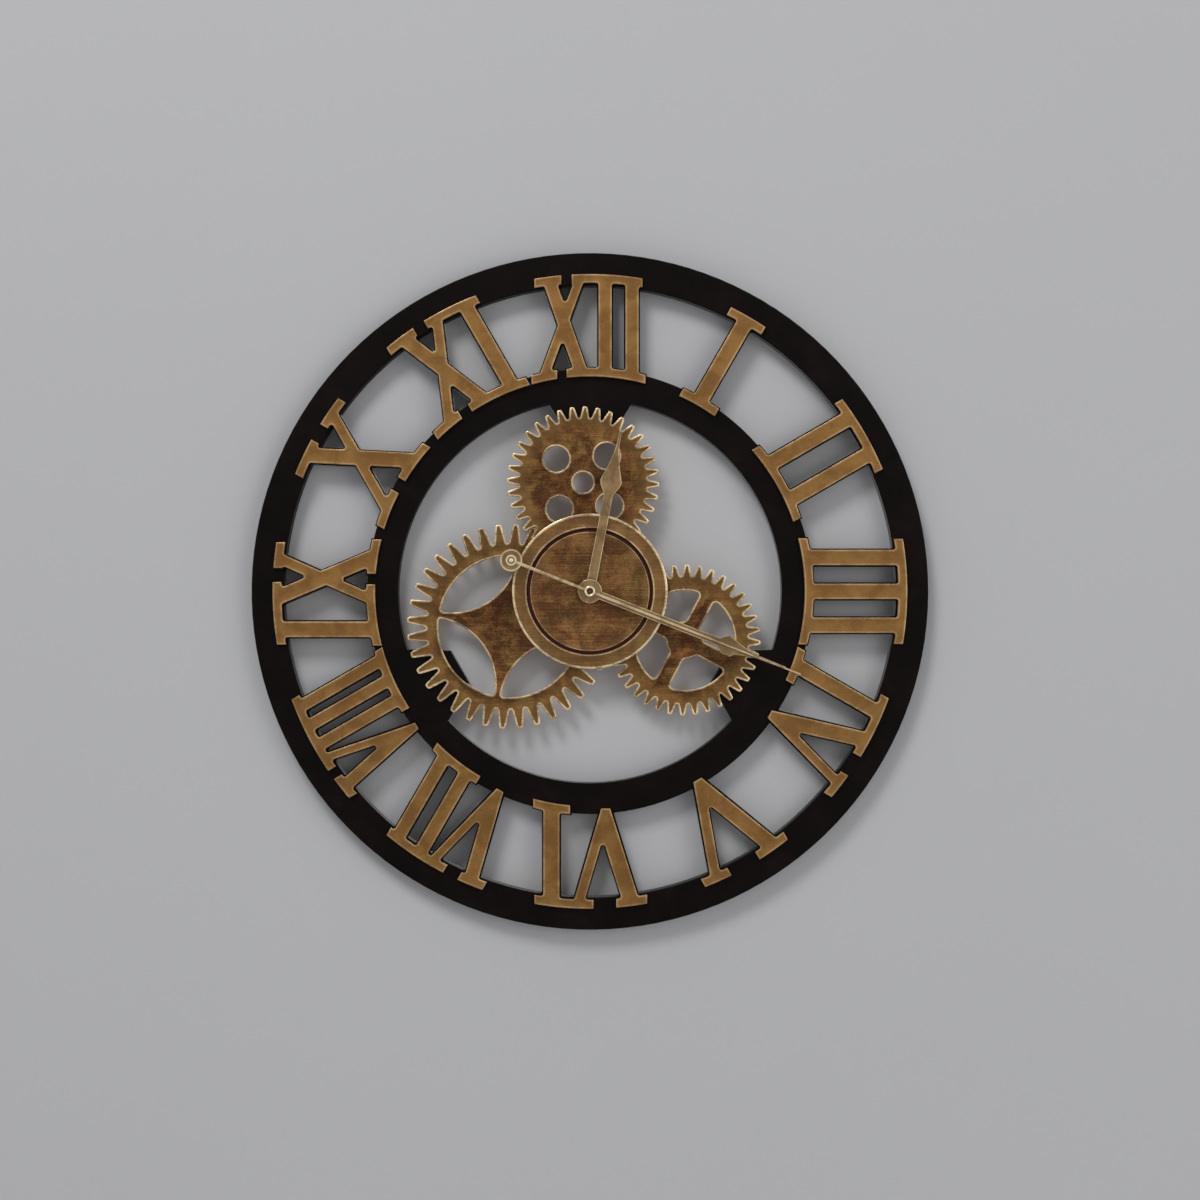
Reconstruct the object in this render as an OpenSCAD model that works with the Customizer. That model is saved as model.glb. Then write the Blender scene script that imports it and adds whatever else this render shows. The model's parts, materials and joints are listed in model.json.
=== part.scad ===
// A large round wall clock with a black two-ring frame, Roman numeral plates, three fixed
// ornamental gears, a turned centre disc and a battery movement with three hands.
// Every piece is drawn on the dial: x to the right, y up, z out of the wall towards the viewer.
// The module upright() then stands the dial up, with its axis along the model's Y axis.

/* [Frame] */
// Diameter of the whole clock
clock_d = 450; // [440:1:470]
// Width of the outer ring
outer_ring_w = 21.5; // [19:0.5:25]
// Open gap between the two rings, which the numerals bridge
ring_gap = 55.5; // [52:0.5:58]
// Width of the inner ring
inner_ring_w = 20.5; // [17:0.5:22]
// Thickness of the frame board
frame_t = 12; // [12:0.5:15]
// Rounding of the front edges of the rings
ring_edge_r = 0.8; // [0.3:0.1:1.5]
// End of each gear tab, as a share of the opening's radius
tab_tip_share = 0.784; // [0.74:0.002:0.82]
// Width of a gear tab where it leaves the inner ring
tab_root_w = 60; // [50:1:66]
// Width of a gear tab at its end
tab_tip_w = 24; // [20:1:30]

/* [Numerals] */
// How far the numerals reach out over the outer ring
numeral_lap_out = 7.1; // [6:0.1:9]
// How far the numerals reach in over the inner ring
numeral_lap_in = 5.4; // [5:0.1:8]
// Width of the widest numeral at its inner end, as a share of its twelfth of the dial
numeral_fill_share = 1.015; // [0.9:0.005:1.02]
// Width of a full upright stroke, as a share of half the widest numeral
stroke_share = 0.276; // [0.22:0.002:0.29]
// Radial thickness of a serif
serif_t = 5.8; // [5:0.1:7]
// Thickness of a numeral plate
numeral_t = 3; // [2:0.5:5]
// Radius in the inner corners of a numeral plate
numeral_fillet = 1.6; // [0.4:0.2:2]
// Width of black backing that shows round a numeral
back_margin = 0.9; // [0.4:0.1:1.2]

/* [Ornamental gears] */
// Thickness of each gear plate, of its spacers and of the step between two gears
gear_t = 2.5; // [2:0.1:3]
// Number of teeth of every ornamental gear
gear_teeth = 36; // [24:1:40]
// Outer radius of the left gear, as a share of the opening's radius
left_gear_share = 0.533; // [0.50:0.001:0.54]
// Distance of the left gear from the dial axis, as a share of the opening's radius
left_dist_share = 0.459; // [0.45:0.001:0.46]
// Outer radius of the right gear, as a share of the opening's radius
right_gear_share = 0.3945; // [0.38:0.0005:0.40]
// Distance of the right gear from the dial axis, as a share of the opening's radius
right_dist_share = 0.5555; // [0.55:0.0005:0.57]
// Outer radius of the top gear, as a share of the opening's radius
top_gear_share = 0.396; // [0.38:0.001:0.41]
// Distance of the top gear from the dial axis, as a share of the opening's radius
top_dist_share = 0.5665; // [0.55:0.0005:0.58]
// Radius of the small round spacers under the gears
spacer_r = 4; // [3:0.5:4]

/* [Centre disc] */
// Width of the disc's seat round the movement
disc_seat_w = 12.4; // [11:0.2:16]
// Thickness of the disc at its face
disc_t = 4; // [3:0.1:5]
// Height of the disc's rim above its face
disc_rim_h = 1.2; // [0.6:0.1:2]
// Width of the raised rim
disc_rim_w = 9.4; // [7:0.2:11]
// Width of the groove inside the rim
disc_groove_w = 2.4; // [1.5:0.1:3]
// Depth of that groove below the face
disc_groove_h = 1.4; // [0.8:0.1:2]
// Rounding of the disc's edges
disc_edge_r = 0.7; // [0.3:0.1:1]

/* [Movement] */
// Room for a contact at each end of the battery
contact_gap = 1.35; // [1.1:0.05:2]
// Room for the wheels between the dial axis and the battery bay
train_room = 12.2; // [10.5:0.1:14]
// Room for the wheels between the dial axis and the circuit board
board_room = 12; // [11.8:0.1:14]
// Room over the motor's coil, up to the top of the case
coil_room = 3; // [2.8:0.1:5]
// Width of the circuit board
board_w = 13; // [11:0.5:14]
// Height of the circuit board
board_h = 19; // [14:0.5:19]
// Height of the motor's coil over the dial axis
coil_dist = 20; // [19.5:0.1:22]
// Radius of the motor's coil
coil_r = 3.2; // [2.6:0.1:3.4]
// Length of the motor's coil over its flanges
coil_l = 22; // [18:0.5:23]
// Thickness of the case walls
case_wall = 1.4; // [1.2:0.1:1.6]
// Corner radius of the case
case_corner_r = 3; // [2:0.5:4]
// Thickness of the back cover
cover_t = 1.8; // [1.4:0.1:2]
// Diameter of the battery
battery_d = 14.2; // [13.5:0.1:14.4]
// Length of the battery over its contact nub
battery_l = 50.5; // [49:0.5:51]
// Thickness of the rubber gasket in front of the case
gasket_t = 0.8; // [0.5:0.1:1.2]
// Radius of the threaded bushing
bush_r = 4; // [3.8:0.1:4.5]
// Width of the hex nut across its flats
nut_af = 11; // [10.5:0.5:12]
// Height of the hex nut
nut_h = 2.2; // [1.8:0.1:3]
// Thickness of the brass washer
washer_t = 0.5; // [0.3:0.1:0.8]
// Radius of the brass washer
washer_r = 7; // [6.5:0.1:8]
// Radius of the rubber gasket
gasket_r = 9.5; // [8:0.5:12]
// Radius of the setting knob
knob_r = 6.2; // [5:0.1:6.4]
// Height of the setting knob
knob_h = 2; // [1.6:0.1:2.1]

/* [Wheel train] */
// Size of a tooth in the running train
train_module = 0.24; // [0.22:0.005:0.25]
// Size of a tooth in the motion work
motion_module = 0.32; // [0.315:0.005:0.33]
// Radius of the thin wheel arbors
arbor_r = 0.4; // [0.3:0.05:0.5]
// Radius of the arbor that carries the second hand
second_arbor_r = 0.5; // [0.4:0.05:0.55]
// Radius of the tube that carries the minute hand
minute_arbor_r = 1.6; // [1.4:0.05:1.7]
// Radius of the pipe that carries the hour hand
hour_pipe_r = 2.5; // [2.4:0.05:2.7]
// Play between two teeth in mesh
backlash = 0.12; // [0.06:0.01:0.14]

/* [Hands] */
// Length of the hour hand from the dial axis
hour_len = 107.5; // [95:0.5:112]
// Width of the hour hand's shank
hour_shank_w = 6.4; // [4:0.1:7]
// Half the width of the hour hand's leaf
hour_leaf_w = 7.1; // [5:0.1:8]
// Length of the minute hand from the dial axis
minute_len = 138; // [126:0.5:142]
// Width of the minute hand's shank
minute_shank_w = 5.4; // [3.5:0.1:6]
// Half the width of the minute hand's leaf
minute_leaf_w = 6.4; // [4:0.1:7]
// Length of the second hand from the dial axis
second_len = 149; // [140:0.5:155]
// Width of the second hand
second_w = 2.2; // [1.4:0.1:2.4]
// Distance of the counterweight from the dial axis
weight_dist = 55.6; // [50:0.2:60]
// Radius of the counterweight
weight_r = 7.4; // [6:0.1:9]
// Radius of the bosses of the hour and minute hands
boss_r = 7.9; // [7:0.1:9]
// Radius of the second hand's hub
eyelet_r = 3.7; // [3:0.1:4.5]
// Thickness of the hour and minute hands
hand_t = 1; // [0.6:0.1:1.3]
// Thickness of the second hand
second_t = 0.6; // [0.4:0.1:0.8]
// Height from one hand's back to the next hand's back
hand_step = 2.4; // [2.1:0.1:3]
// Angle of the hour hand, clockwise from twelve
hour_angle = 10.9; // [0:0.1:360]
// Angle of the minute hand, clockwise from twelve
minute_angle = 111.4; // [0:0.1:360]
// Angle of the second hand, clockwise from twelve
second_angle = 111.7; // [0:0.1:360]

/* [Hanger] */
// Width of the hanger plate
hanger_w = 34; // [30:1:40]
// Height of the hanger plate
hanger_h = 13; // [12:0.5:14]
// Thickness of the hanger plate
hanger_t = 1.2; // [1:0.1:1.6]
// Radius of the hole that the head of the wall screw goes through
key_r = 4.25; // [3.5:0.05:4.5]
// Width of the slot that the wall screw hangs in
key_slot_w = 4.4; // [3.6:0.1:5]
// Depth of the pocket behind the hanger plate
pocket_h = 6.5; // [4:0.5:8]
// Radius of the hanger's screws
screw_r = 1.5; // [1.2:0.1:1.7]
// Length of the hanger's screws
screw_l = 9; // [7:0.5:10]

/* [Fit] */
// Radial clearance of a shaft that turns in its bore
run_gap = 0.05; // [0.03:0.01:0.08]
// Clearance between two fixed pieces that drop into each other
drop_gap = 0.2; // [0.1:0.05:0.3]

/* [Hidden] */
$fa = 3;
$fs = 0.4;
turn = 360;
hours = 12;
over = 1;

clock_r = clock_d / 2;
outer_ring_in_r = clock_r - outer_ring_w;
inner_ring_out_r = outer_ring_in_r - ring_gap;
inner_ring_in_r = inner_ring_out_r - inner_ring_w;
tab_count = 3;
tab_tip_r = tab_tip_share * inner_ring_in_r;

numeral_out_r = outer_ring_in_r + numeral_lap_out;
numeral_in_r = inner_ring_out_r - numeral_lap_in;
numeral_half_w = numeral_fill_share * numeral_in_r * tan(turn / hours / 2);
stroke_w = stroke_share * numeral_half_w;
v_thick_share = 1.06;
v_thin_share = 0.66;
v_tip_share = 0.56;
x_thick_share = 1.04;
x_thin_share = 0.74;

// One row for each hour. A place is a share of half the widest numeral's width, measured
// clockwise along the numeral. Columns: width of the strokes as a share of a full stroke;
// centres of the I strokes; V as thick top, thin top and point; X as thick top, thick foot,
// thin top and thin foot; outer serifs from end to end; inner serifs from end to end.
numeral_shares = [
    [1.00, [0], [], [], [[-0.34, 0.34]], [[-0.35, 0.35]]],
    [0.97, [-0.35, 0.35], [], [], [[-0.69, 0.69]], [[-0.71, 0.71]]],
    [0.96, [-0.58, 0, 0.58], [], [], [[-0.90, 0.90]], [[-0.91, 0.91]]],
    [0.95, [-0.67], [-0.16, 0.73, 0.28], [], [[-0.97, 0.14], [0.52, 0.98]], [[-0.96, -0.36]]],
    [1.03, [], [-0.54, 0.60, 0.02], [], [[-0.81, -0.22], [0.33, 0.82]], []],
    [1.00, [0.66], [-0.72, 0.20, -0.27], [], [[-0.98, -0.45], [-0.06, 0.95]], [[0.34, 0.97]]],
    [0.85, [0.28, 0.74], [-0.72, 0.03, -0.37], [], [[-0.96, -0.50], [-0.23, 0.93]],
        [[0.04, 0.97]]],
    [0.78, [0.04, 0.41, 0.77], [-0.80, -0.20, -0.51], [], [[-1, -0.59], [-0.42, 0.95]],
        [[-0.18, 0.95]]],
    [0.97, [-0.65], [], [-0.11, 0.57, 0.58, -0.13], [[-0.91, 0.16], [0.40, 0.84]],
        [[-0.93, 0.12], [0.30, 0.89]]],
    [1.00, [], [], [-0.40, 0.42, 0.44, -0.50], [[-0.78, -0.13], [0.17, 0.71]],
        [[-0.84, -0.18], [0.05, 0.77]]],
    [0.93, [0.60], [], [-0.61, 0.06, 0.07, -0.62], [[-0.93, -0.37], [-0.15, 0.84]],
        [[-0.96, -0.41], [-0.21, 0.88]]],
    [0.82, [0.26, 0.72], [], [-0.71, -0.15, -0.17, -0.76], [[-0.95, -0.49], [-0.31, 0.90]],
        [[-1, -0.56], [-0.40, 0.95]]]
];

// Heights out of the wall
lower_gear_z = frame_t;
upper_gear_z = lower_gear_z + gear_t;
disc_z = upper_gear_z + gear_t;
disc_face_z = disc_z + disc_t;
case_front_z = disc_z - gasket_t;
case_in_z = case_front_z - case_wall;
case_d = battery_d + case_wall + 3 * drop_gap;
case_back_z = case_front_z - case_d;
cover_in_z = case_back_z + cover_t;
nut_z = disc_face_z + washer_t;
bush_top_z = nut_z + nut_h + drop_gap;
hour_hand_z = bush_top_z + 2 * drop_gap;
minute_hand_z = hour_hand_z + hand_step;
second_hand_z = minute_hand_z + hand_step;
pipe_proud = drop_gap;

// Directions are degrees clockwise from twelve, as on the dial
left_gear_dir = 246.4;
right_gear_dir = 117.3;
top_gear_dir = -3.6;
left_tooth_dir = -6.2;
right_tooth_dir = 1.7;
top_tooth_dir = 1.5;
left_window_dir = 234.6;
right_window_dir = 73;
top_hole_dir = 41.5;
window_count = 4;

// Radii and distances inside each gear, as shares of its outer radius
left_gear_r = left_gear_share * inner_ring_in_r;
left_gear_dist = left_dist_share * inner_ring_in_r;
left_tooth_share = 0.185;
left_rim_share = 0.69;
left_arc_share = 0.651;
left_arc_dist_share = 0.969;
left_corner_share = 0.026;
right_gear_r = right_gear_share * inner_ring_in_r;
right_gear_dist = right_dist_share * inner_ring_in_r;
right_tooth_share = 0.149;
right_rim_share = 0.656;
right_hub_share = 0.2485;
right_spoke_share = 0.209;
right_corner_share = 0.048;
top_gear_r = top_gear_share * inner_ring_in_r;
top_gear_dist = top_dist_share * inner_ring_in_r;
top_tooth_share = 0.1485;
top_eye_share = 0.135;
top_hole_share = 0.168;
top_hole_dist_share = 0.467;
spacer_dirs = [190, 304, 88, 146];
numeral_split = 0.1;
// Outline of a gear tooth from its root to its tip: height as a share of the tooth, and half its
// width as a share of the pitch
tooth_shares = [[0, 0.46], [0.06, 0.40], [0.82, 0.205], [0.95, 0.165], [1, 0.095]];

// The battery or the board sets the width inside the case; its bay, the wheels and the coil
// set the height
post_r = 1.6;
bay_l = battery_l + 2 * contact_gap;
case_in_w = max(bay_l, 2 * (post_r + board_w + board_room));
bay_h = battery_d + drop_gap;
bay_wall_y = -train_room;
bay_wall = case_wall - 2 * drop_gap;
case_low_y = bay_wall_y - bay_h;
coil_flange_r = 1.125 * coil_r;
case_high_y = coil_dist + coil_flange_r + coil_room;
case_w = case_in_w + 2 * case_wall;
case_h = case_high_y - case_low_y + 2 * case_wall;
case_mid_y = (case_high_y + case_low_y) / 2;
case_reach_y = max(case_high_y, -case_low_y) + case_wall;
pocket_gap = 4 * drop_gap;
window_reach_r = norm([case_w / 2 - case_corner_r, case_reach_y - case_corner_r]) + case_corner_r + pocket_gap;
disc_r = window_reach_r + disc_seat_w;
spacer_ring_r = (window_reach_r + disc_r) / 2;
battery_y = case_low_y + bay_h / 2;
battery_z = case_in_z - drop_gap / 2 - battery_d / 2;
cell_r = battery_d / 2;
nub_r = 0.19 * battery_d;
nub_l = 0.085 * battery_d;
contact_t = 0.4;
contact_w = 9;

// The train stands in six levels of equal height behind the flange of the bushing
level_count = 6;
flange_t = 1;
level_h = (case_in_z - flange_t - cover_in_z) / level_count;
wheel_t = 0.45 * level_h;
pinion_t = 0.75 * level_h;
hour_level = 1;
motion_level = 2;
centre_level = 3;
third_level = 4;
second_level = 5;
drive_level = 6;

// Teeth: 30 to 1 from the rotor to the second hand, 60 to 1 to the centre wheel, 12 to 1
// from the minute hand to the hour hand
second_teeth = 60;
second_pinion_teeth = 8;
third_teeth = 60;
third_pinion_teeth = 8;
centre_teeth = 64;
drive_teeth = 60;
drive_pinion_teeth = 12;
rotor_teeth = 10;
cannon_teeth = 12;
motion_teeth = 36;
motion_pinion_teeth = 10;
hour_teeth = 40;
knob_teeth = 12;
tooth_top_share = 0.8;
tooth_foot_share = 1.25;
tooth_waist_share = 0.85;

// Centre distances, and the directions in degrees counterclockwise from three o'clock
third_dist = train_module * (second_pinion_teeth + third_teeth) / 2;
centre_module = 2 * third_dist / (third_pinion_teeth + centre_teeth);
drive_dist = train_module * (second_teeth + drive_pinion_teeth) / 2;
rotor_module = 0.83 * train_module;
rotor_dist = rotor_module * (drive_teeth + rotor_teeth) / 2;
motion_dist = motion_module * (cannon_teeth + motion_teeth) / 2;
hour_module = 2 * motion_dist / (motion_pinion_teeth + hour_teeth);
third_dir = 60;
drive_dir = 0;
rotor_dir = 50;
motion_dir = 180;
third_at = third_dist * [cos(third_dir), sin(third_dir)];
drive_at = drive_dist * [cos(drive_dir), sin(drive_dir)];
rotor_at = drive_at + rotor_dist * [cos(rotor_dir), sin(rotor_dir)];
motion_at = motion_dist * [cos(motion_dir), sin(motion_dir)];
knob_at = motion_at + motion_module * (motion_teeth + knob_teeth) / 2 * [cos(motion_dir), sin(motion_dir)];
pivot_h = 0.9;
stud_r = 0.8;
flange_r = 1.5 * bush_r;
magnet_r = 2.4;
magnet_h = level_h;
stator_t = 0.8;
stator_gap = 0.5;
dish_wall = 1;
dish_h = knob_h + 2 * drop_gap;
dish_r = knob_r + 4 * drop_gap;
knob_shaft_r = 1;
knob_notches = 24;

// Motor coil above the train
coil_flange_t = 1;
core_w = 4;
core_overhang = 6.5;
core_inset = 3.6;
coil_at = [case_in_w / 2 - core_inset - core_overhang - coil_l / 2, coil_dist];
core_z = level_z(second_level) + stator_t / 2;
board_t = 0.8;
board_post_h = 1.8;
board_gap = 0.5;
board_at = [post_r + board_w / 2 - case_in_w / 2, case_high_y - 2 * post_r - board_gap - board_h / 2];
board_z = case_in_z - board_post_h - board_t;
chip_r = 2.6;
chip_h = 1;
can_r = 1;
can_l = 6;

hour_leaf_start = 65.3;
hour_leaf_l = 33.5;
hour_peak_share = 0.27;
minute_leaf_start = 91;
minute_leaf_l = 29;
minute_peak_share = 0.21;
tip_w = 2;
tip_end_share = 0.8;
leaf_steps = 20;
leaf_curve = 1.5;
shank_taper_share = 0.94;
eyelet_h = 2;
eyelet_eye_r = 1.7;
weight_ring_r = 3.4;
weight_eye_r = 1.5;

hanger_y = clock_r - outer_ring_w / 2;
key_drop = 2;
key_rise = 6.6;
screw_dx = 13;
screw_head_r = 3;

function on_dial(r, dir) = [r * sin(dir), r * cos(dir)];
function level_z(n) = case_in_z - flange_t - (n - 0.5) * level_h;

// Half the angle that a tooth takes at radius r, from the involute of its pitch circle
press = 20;
function involute(a) = tan(a) * turn / (2 * PI) - a;
function flank_angle(r, pitch_r) =
    let (base_r = pitch_r * cos(press))
    involute(r > base_r ? acos(base_r / r) : 0);
function tooth_half(r, pitch_r, teeth) =
    turn / teeth / 4 - backlash / 4 / pitch_r * turn / (2 * PI)
    + involute(press) - flank_angle(r, pitch_r);

// The direction of a wheel's first tooth, so that it meshes with a first wheel's teeth
function mesh_dir(line, teeth_a, dir_a, teeth_b) =
    let (along = (line - dir_a) * teeth_a / turn)
    line + turn / 2 - (0.5 - along) * turn / teeth_b;

// The dial stands up, and its axis points out of the wall
module upright() {
    rotate([90, 0, 0]) children();
}

module raise(z) {
    translate([0, 0, z]) children();
}

module dial_turn(dir) {
    rotate([0, 0, -dir]) children();
}

module at(place) {
    translate(place) children();
}

// Frame

module ring_profile(in_r, out_r) {
    translate([in_r, 0]) square([out_r - in_r, frame_t - ring_edge_r]);
    translate([in_r + ring_edge_r, 0]) square([out_r - in_r - 2 * ring_edge_r, frame_t]);
    for (x = [in_r + ring_edge_r, out_r - ring_edge_r])
        translate([x, frame_t - ring_edge_r]) circle(ring_edge_r);
}

module outer_ring() {
    color("#17100f") upright() difference() {
        rotate_extrude() ring_profile(outer_ring_in_r, clock_r);
        at([0, hanger_y]) hanger_pocket();
    }
}

module hanger_pocket() {
    raise(-over) linear_extrude(hanger_t + over) square([hanger_w, hanger_h], center = true);
    raise(-over) linear_extrude(pocket_h + over) keyhole(key_r + drop_gap, key_slot_w + 4 * screw_r);
    for (side = [-1, 1]) at([side * screw_dx, 0]) cylinder(r = screw_r, h = screw_l);
}

// The opening is cut from a wider ring, and leaves three tabs for the gears
module inner_ring() {
    color("#17100f") upright() difference() {
        rotate_extrude() ring_profile(tab_tip_r - 4 * ring_edge_r, inner_ring_out_r);
        raise(-over) linear_extrude(frame_t + 2 * over) difference() {
            circle(inner_ring_in_r);
            for (i = [0:tab_count - 1]) dial_turn(i * turn / tab_count) gear_tab_2d();
        }
    }
}

module gear_tab_2d() {
    root_y = inner_ring_in_r + 2 * ring_edge_r;
    polygon([[-tab_root_w / 2, root_y], [-tab_tip_w / 2, tab_tip_r], [tab_tip_w / 2, tab_tip_r],
        [tab_root_w / 2, root_y]]);
}

// Numerals

module band_2d(in_r, out_r) {
    difference() {
        circle(out_r, $fn = 240);
        circle(in_r, $fn = 240);
    }
}

// A stroke runs from its place at the foot to its place at the top
module stroke_2d(foot, top, wide, grow) {
    half = wide / 2 + grow;
    low = numeral_in_r + serif_t / 2;
    high = numeral_out_r - serif_t / 2;
    polygon([[foot - half, low], [foot + half, low], [top + half, high], [top - half, high]]);
}

module serif_2d(span, in_r, out_r, grow) {
    intersection() {
        band_2d(in_r - grow, out_r + grow);
        translate([span[0] * numeral_half_w - grow, 0])
            square([(span[1] - span[0]) * numeral_half_w + 2 * grow, clock_r]);
    }
}

// A V in one outline: two legs whose inner edges run parallel to the outer ones
module v_2d(place, wide, grow) {
    low = numeral_in_r + serif_t / 4;
    high = numeral_out_r - serif_t / 2;
    tall = high - low;
    tip = v_tip_share * wide / 2;
    thick = v_thick_share * wide;
    thin = v_thin_share * wide;
    foot_a = place[2] * numeral_half_w - tip;
    foot_b = place[2] * numeral_half_w + tip;
    top_a = place[0] * numeral_half_w - thick / 2;
    top_b = place[1] * numeral_half_w + thin / 2;
    notch_share = (thick + thin - 2 * tip + 2 * grow) / (top_b - top_a - 2 * tip);
    notch_x = foot_a + thick + grow + (top_a - foot_a) * notch_share;
    polygon([[foot_a - grow, low - grow], [foot_b + grow, low - grow], [top_b + grow, high],
        [top_b - thin - grow, high], [notch_x, low + tall * notch_share], [top_a + thick + grow, high],
        [top_a - grow, high]]);
}

module x_2d(place, wide, grow) {
    stroke_2d(place[1] * numeral_half_w, place[0] * numeral_half_w, x_thick_share * wide, grow);
    stroke_2d(place[3] * numeral_half_w, place[2] * numeral_half_w, x_thin_share * wide, grow);
}

module numeral_2d(hour, grow) {
    row = numeral_shares[hour - 1];
    wide = row[0] * stroke_w;
    for (place = row[1]) stroke_2d(place * numeral_half_w, place * numeral_half_w, wide, grow);
    if (len(row[2]) > 0) v_2d(row[2], wide, grow);
    if (len(row[3]) > 0) x_2d(row[3], wide, grow);
    for (span = row[4]) serif_2d(span, numeral_out_r - serif_t, numeral_out_r, grow);
    for (span = row[5]) serif_2d(span, numeral_in_r, numeral_in_r + serif_t, grow);
}

module numeral(hour) {
    color("#b98d52") upright() dial_turn(hour * turn / hours) raise(frame_t) linear_extrude(numeral_t)
        offset(r = -numeral_fillet, $fn = 20) offset(delta = numeral_fillet) numeral_2d(hour, 0);
}

// The black bridge behind a numeral joins the two rings and keeps to its own twelfth of the dial
module numeral_back(hour) {
    reach = 2 * clock_r;
    share = turn / hours / 2 - numeral_split;
    color("#17100f") upright() dial_turn(hour * turn / hours) linear_extrude(frame_t) intersection() {
        numeral_2d(hour, back_margin);
        band_2d(inner_ring_out_r, outer_ring_in_r);
        polygon([[0, 0], on_dial(reach, -share), on_dial(reach, share)]);
    }
}

// Ornamental gears

// The teeth that the centre disc hides are left off: there the gear keeps its root radius
module toothed_disc_2d(tip_r, tooth_share, dir, dist, gear_dir) {
    pitch = turn / gear_teeth;
    root_r = (1 - tooth_share) * tip_r;
    last = len(tooth_shares) - 1;
    hidden = acos((dist * dist + tip_r * tip_r - disc_r * disc_r) / (2 * dist * tip_r)) - pitch;
    polygon([for (i = [0:gear_teeth - 1])
        let (mid = dir + i * pitch, top = cos(mid - gear_dir - turn / 2) < cos(hidden) ? last : 0)
        for (side = [-1, 1], k = [0:top])
            let (row = tooth_shares[side < 0 ? k : top - k])
            on_dial(root_r + row[0] * (tip_r - root_r), mid + side * row[1] * pitch)]);
}

// A gear plate: its windows stop at the disc's edge, where it is left solid as the disc's seat,
// and it is cut away where the movement stands behind the disc
module gear_plate(place, base_z) {
    color("#7d5c34") upright() raise(base_z) linear_extrude(gear_t) difference() {
        at(place) children(0);
        difference() {
            at(place) children(1);
            circle(disc_r - disc_edge_r);
        }
        circle(window_reach_r);
    }
}

module rounded_2d(corner_r) {
    offset(r = corner_r, $fn = 24) offset(delta = -corner_r) children();
}

module left_gear() {
    gear_plate(on_dial(left_gear_dist, left_gear_dir), lower_gear_z) {
        toothed_disc_2d(left_gear_r, left_tooth_share, left_tooth_dir, left_gear_dist, left_gear_dir);
        for (i = [0:window_count - 1]) dial_turn(left_window_dir + i * turn / window_count)
            rounded_2d(left_corner_share * left_gear_r) intersection() {
                circle(left_rim_share * left_gear_r, $fn = 120);
                at([0, left_arc_dist_share * left_gear_r]) circle(left_arc_share * left_gear_r, $fn = 120);
            }
    }
}

module right_gear_window_2d() {
    spoke_half = right_spoke_share * right_gear_r / 2;
    rounded_2d(right_corner_share * right_gear_r) intersection() {
        difference() {
            circle(right_rim_share * right_gear_r, $fn = 120);
            circle(right_hub_share * right_gear_r, $fn = 90);
        }
        translate([spoke_half, spoke_half]) square(right_gear_r);
    }
}

module right_gear() {
    gear_plate(on_dial(right_gear_dist, right_gear_dir), lower_gear_z) {
        toothed_disc_2d(right_gear_r, right_tooth_share, right_tooth_dir, right_gear_dist, right_gear_dir);
        for (i = [0:window_count - 1])
            dial_turn(right_window_dir - turn / 8 + i * turn / window_count) right_gear_window_2d();
    }
}

module top_gear() {
    gear_plate(on_dial(top_gear_dist, top_gear_dir), upper_gear_z) {
        toothed_disc_2d(top_gear_r, top_tooth_share, top_tooth_dir, top_gear_dist, top_gear_dir);
        union() {
            circle(top_eye_share * top_gear_r);
            for (i = [0:window_count - 1])
                at(on_dial(top_hole_dist_share * top_gear_r, top_hole_dir + i * turn / window_count))
                    circle(top_hole_share * top_gear_r);
        }
    }
}

// Spacers lift the top gear over its tab, and the disc over the rims of the two lower gears
module gear_spacers() {
    tab_y = tab_tip_r + 2 * spacer_r;
    color("#2a1d14") upright() {
        raise(lower_gear_z) {
            for (side = [-1, 1]) at([side * 2 * spacer_r, tab_y]) spacer();
        }
        raise(upper_gear_z) {
            for (dir = spacer_dirs) at(on_dial(spacer_ring_r, dir)) spacer();
        }
    }
}

module spacer() {
    cylinder(r = spacer_r, h = gear_t);
}

// Centre disc, turned in one piece

module disc_profile() {
    rim_in_r = disc_r - disc_rim_w;
    face_r = rim_in_r - disc_groove_w;
    top = disc_t + disc_rim_h;
    difference() {
        union() {
            square([disc_r, top - disc_edge_r]);
            translate([rim_in_r + disc_edge_r, 0]) square([disc_rim_w - 2 * disc_edge_r, top]);
            for (x = [rim_in_r + disc_edge_r, disc_r - disc_edge_r])
                translate([x, top - disc_edge_r]) circle(disc_edge_r);
        }
        translate([-over, disc_t]) square([rim_in_r + over, top]);
        translate([face_r, disc_t - disc_groove_h]) square([disc_groove_w, top]);
        translate([-over, -over]) square([bush_r + drop_gap + over, top + 2 * over]);
    }
}

module centre_disc() {
    color("#8a6a3c") upright() raise(disc_z) rotate_extrude() disc_profile();
}

// Hanger on the back of the outer ring

module keyhole(hole_r, slot_w) {
    translate([0, -key_drop]) circle(hole_r);
    translate([-slot_w / 2, -key_drop]) square([slot_w, key_rise - slot_w / 2]);
    translate([0, key_rise - key_drop - slot_w / 2]) circle(slot_w / 2);
}

module hanger_plate() {
    color("#b8b8b4") upright() at([0, hanger_y]) difference() {
        linear_extrude(hanger_t) square([hanger_w, hanger_h], center = true);
        raise(-over) linear_extrude(hanger_t + 2 * over) keyhole(key_r, key_slot_w);
        for (side = [-1, 1]) at([side * screw_dx, 0]) screw_cone();
        for (side = [-1, 1]) at([side * screw_dx, 0]) cylinder(r = screw_r, h = hanger_t + over);
    }
}

module screw_cone() {
    raise(-over) cylinder(r = screw_head_r, h = over);
    cylinder(r1 = screw_head_r, r2 = screw_r, h = hanger_t);
}

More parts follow.
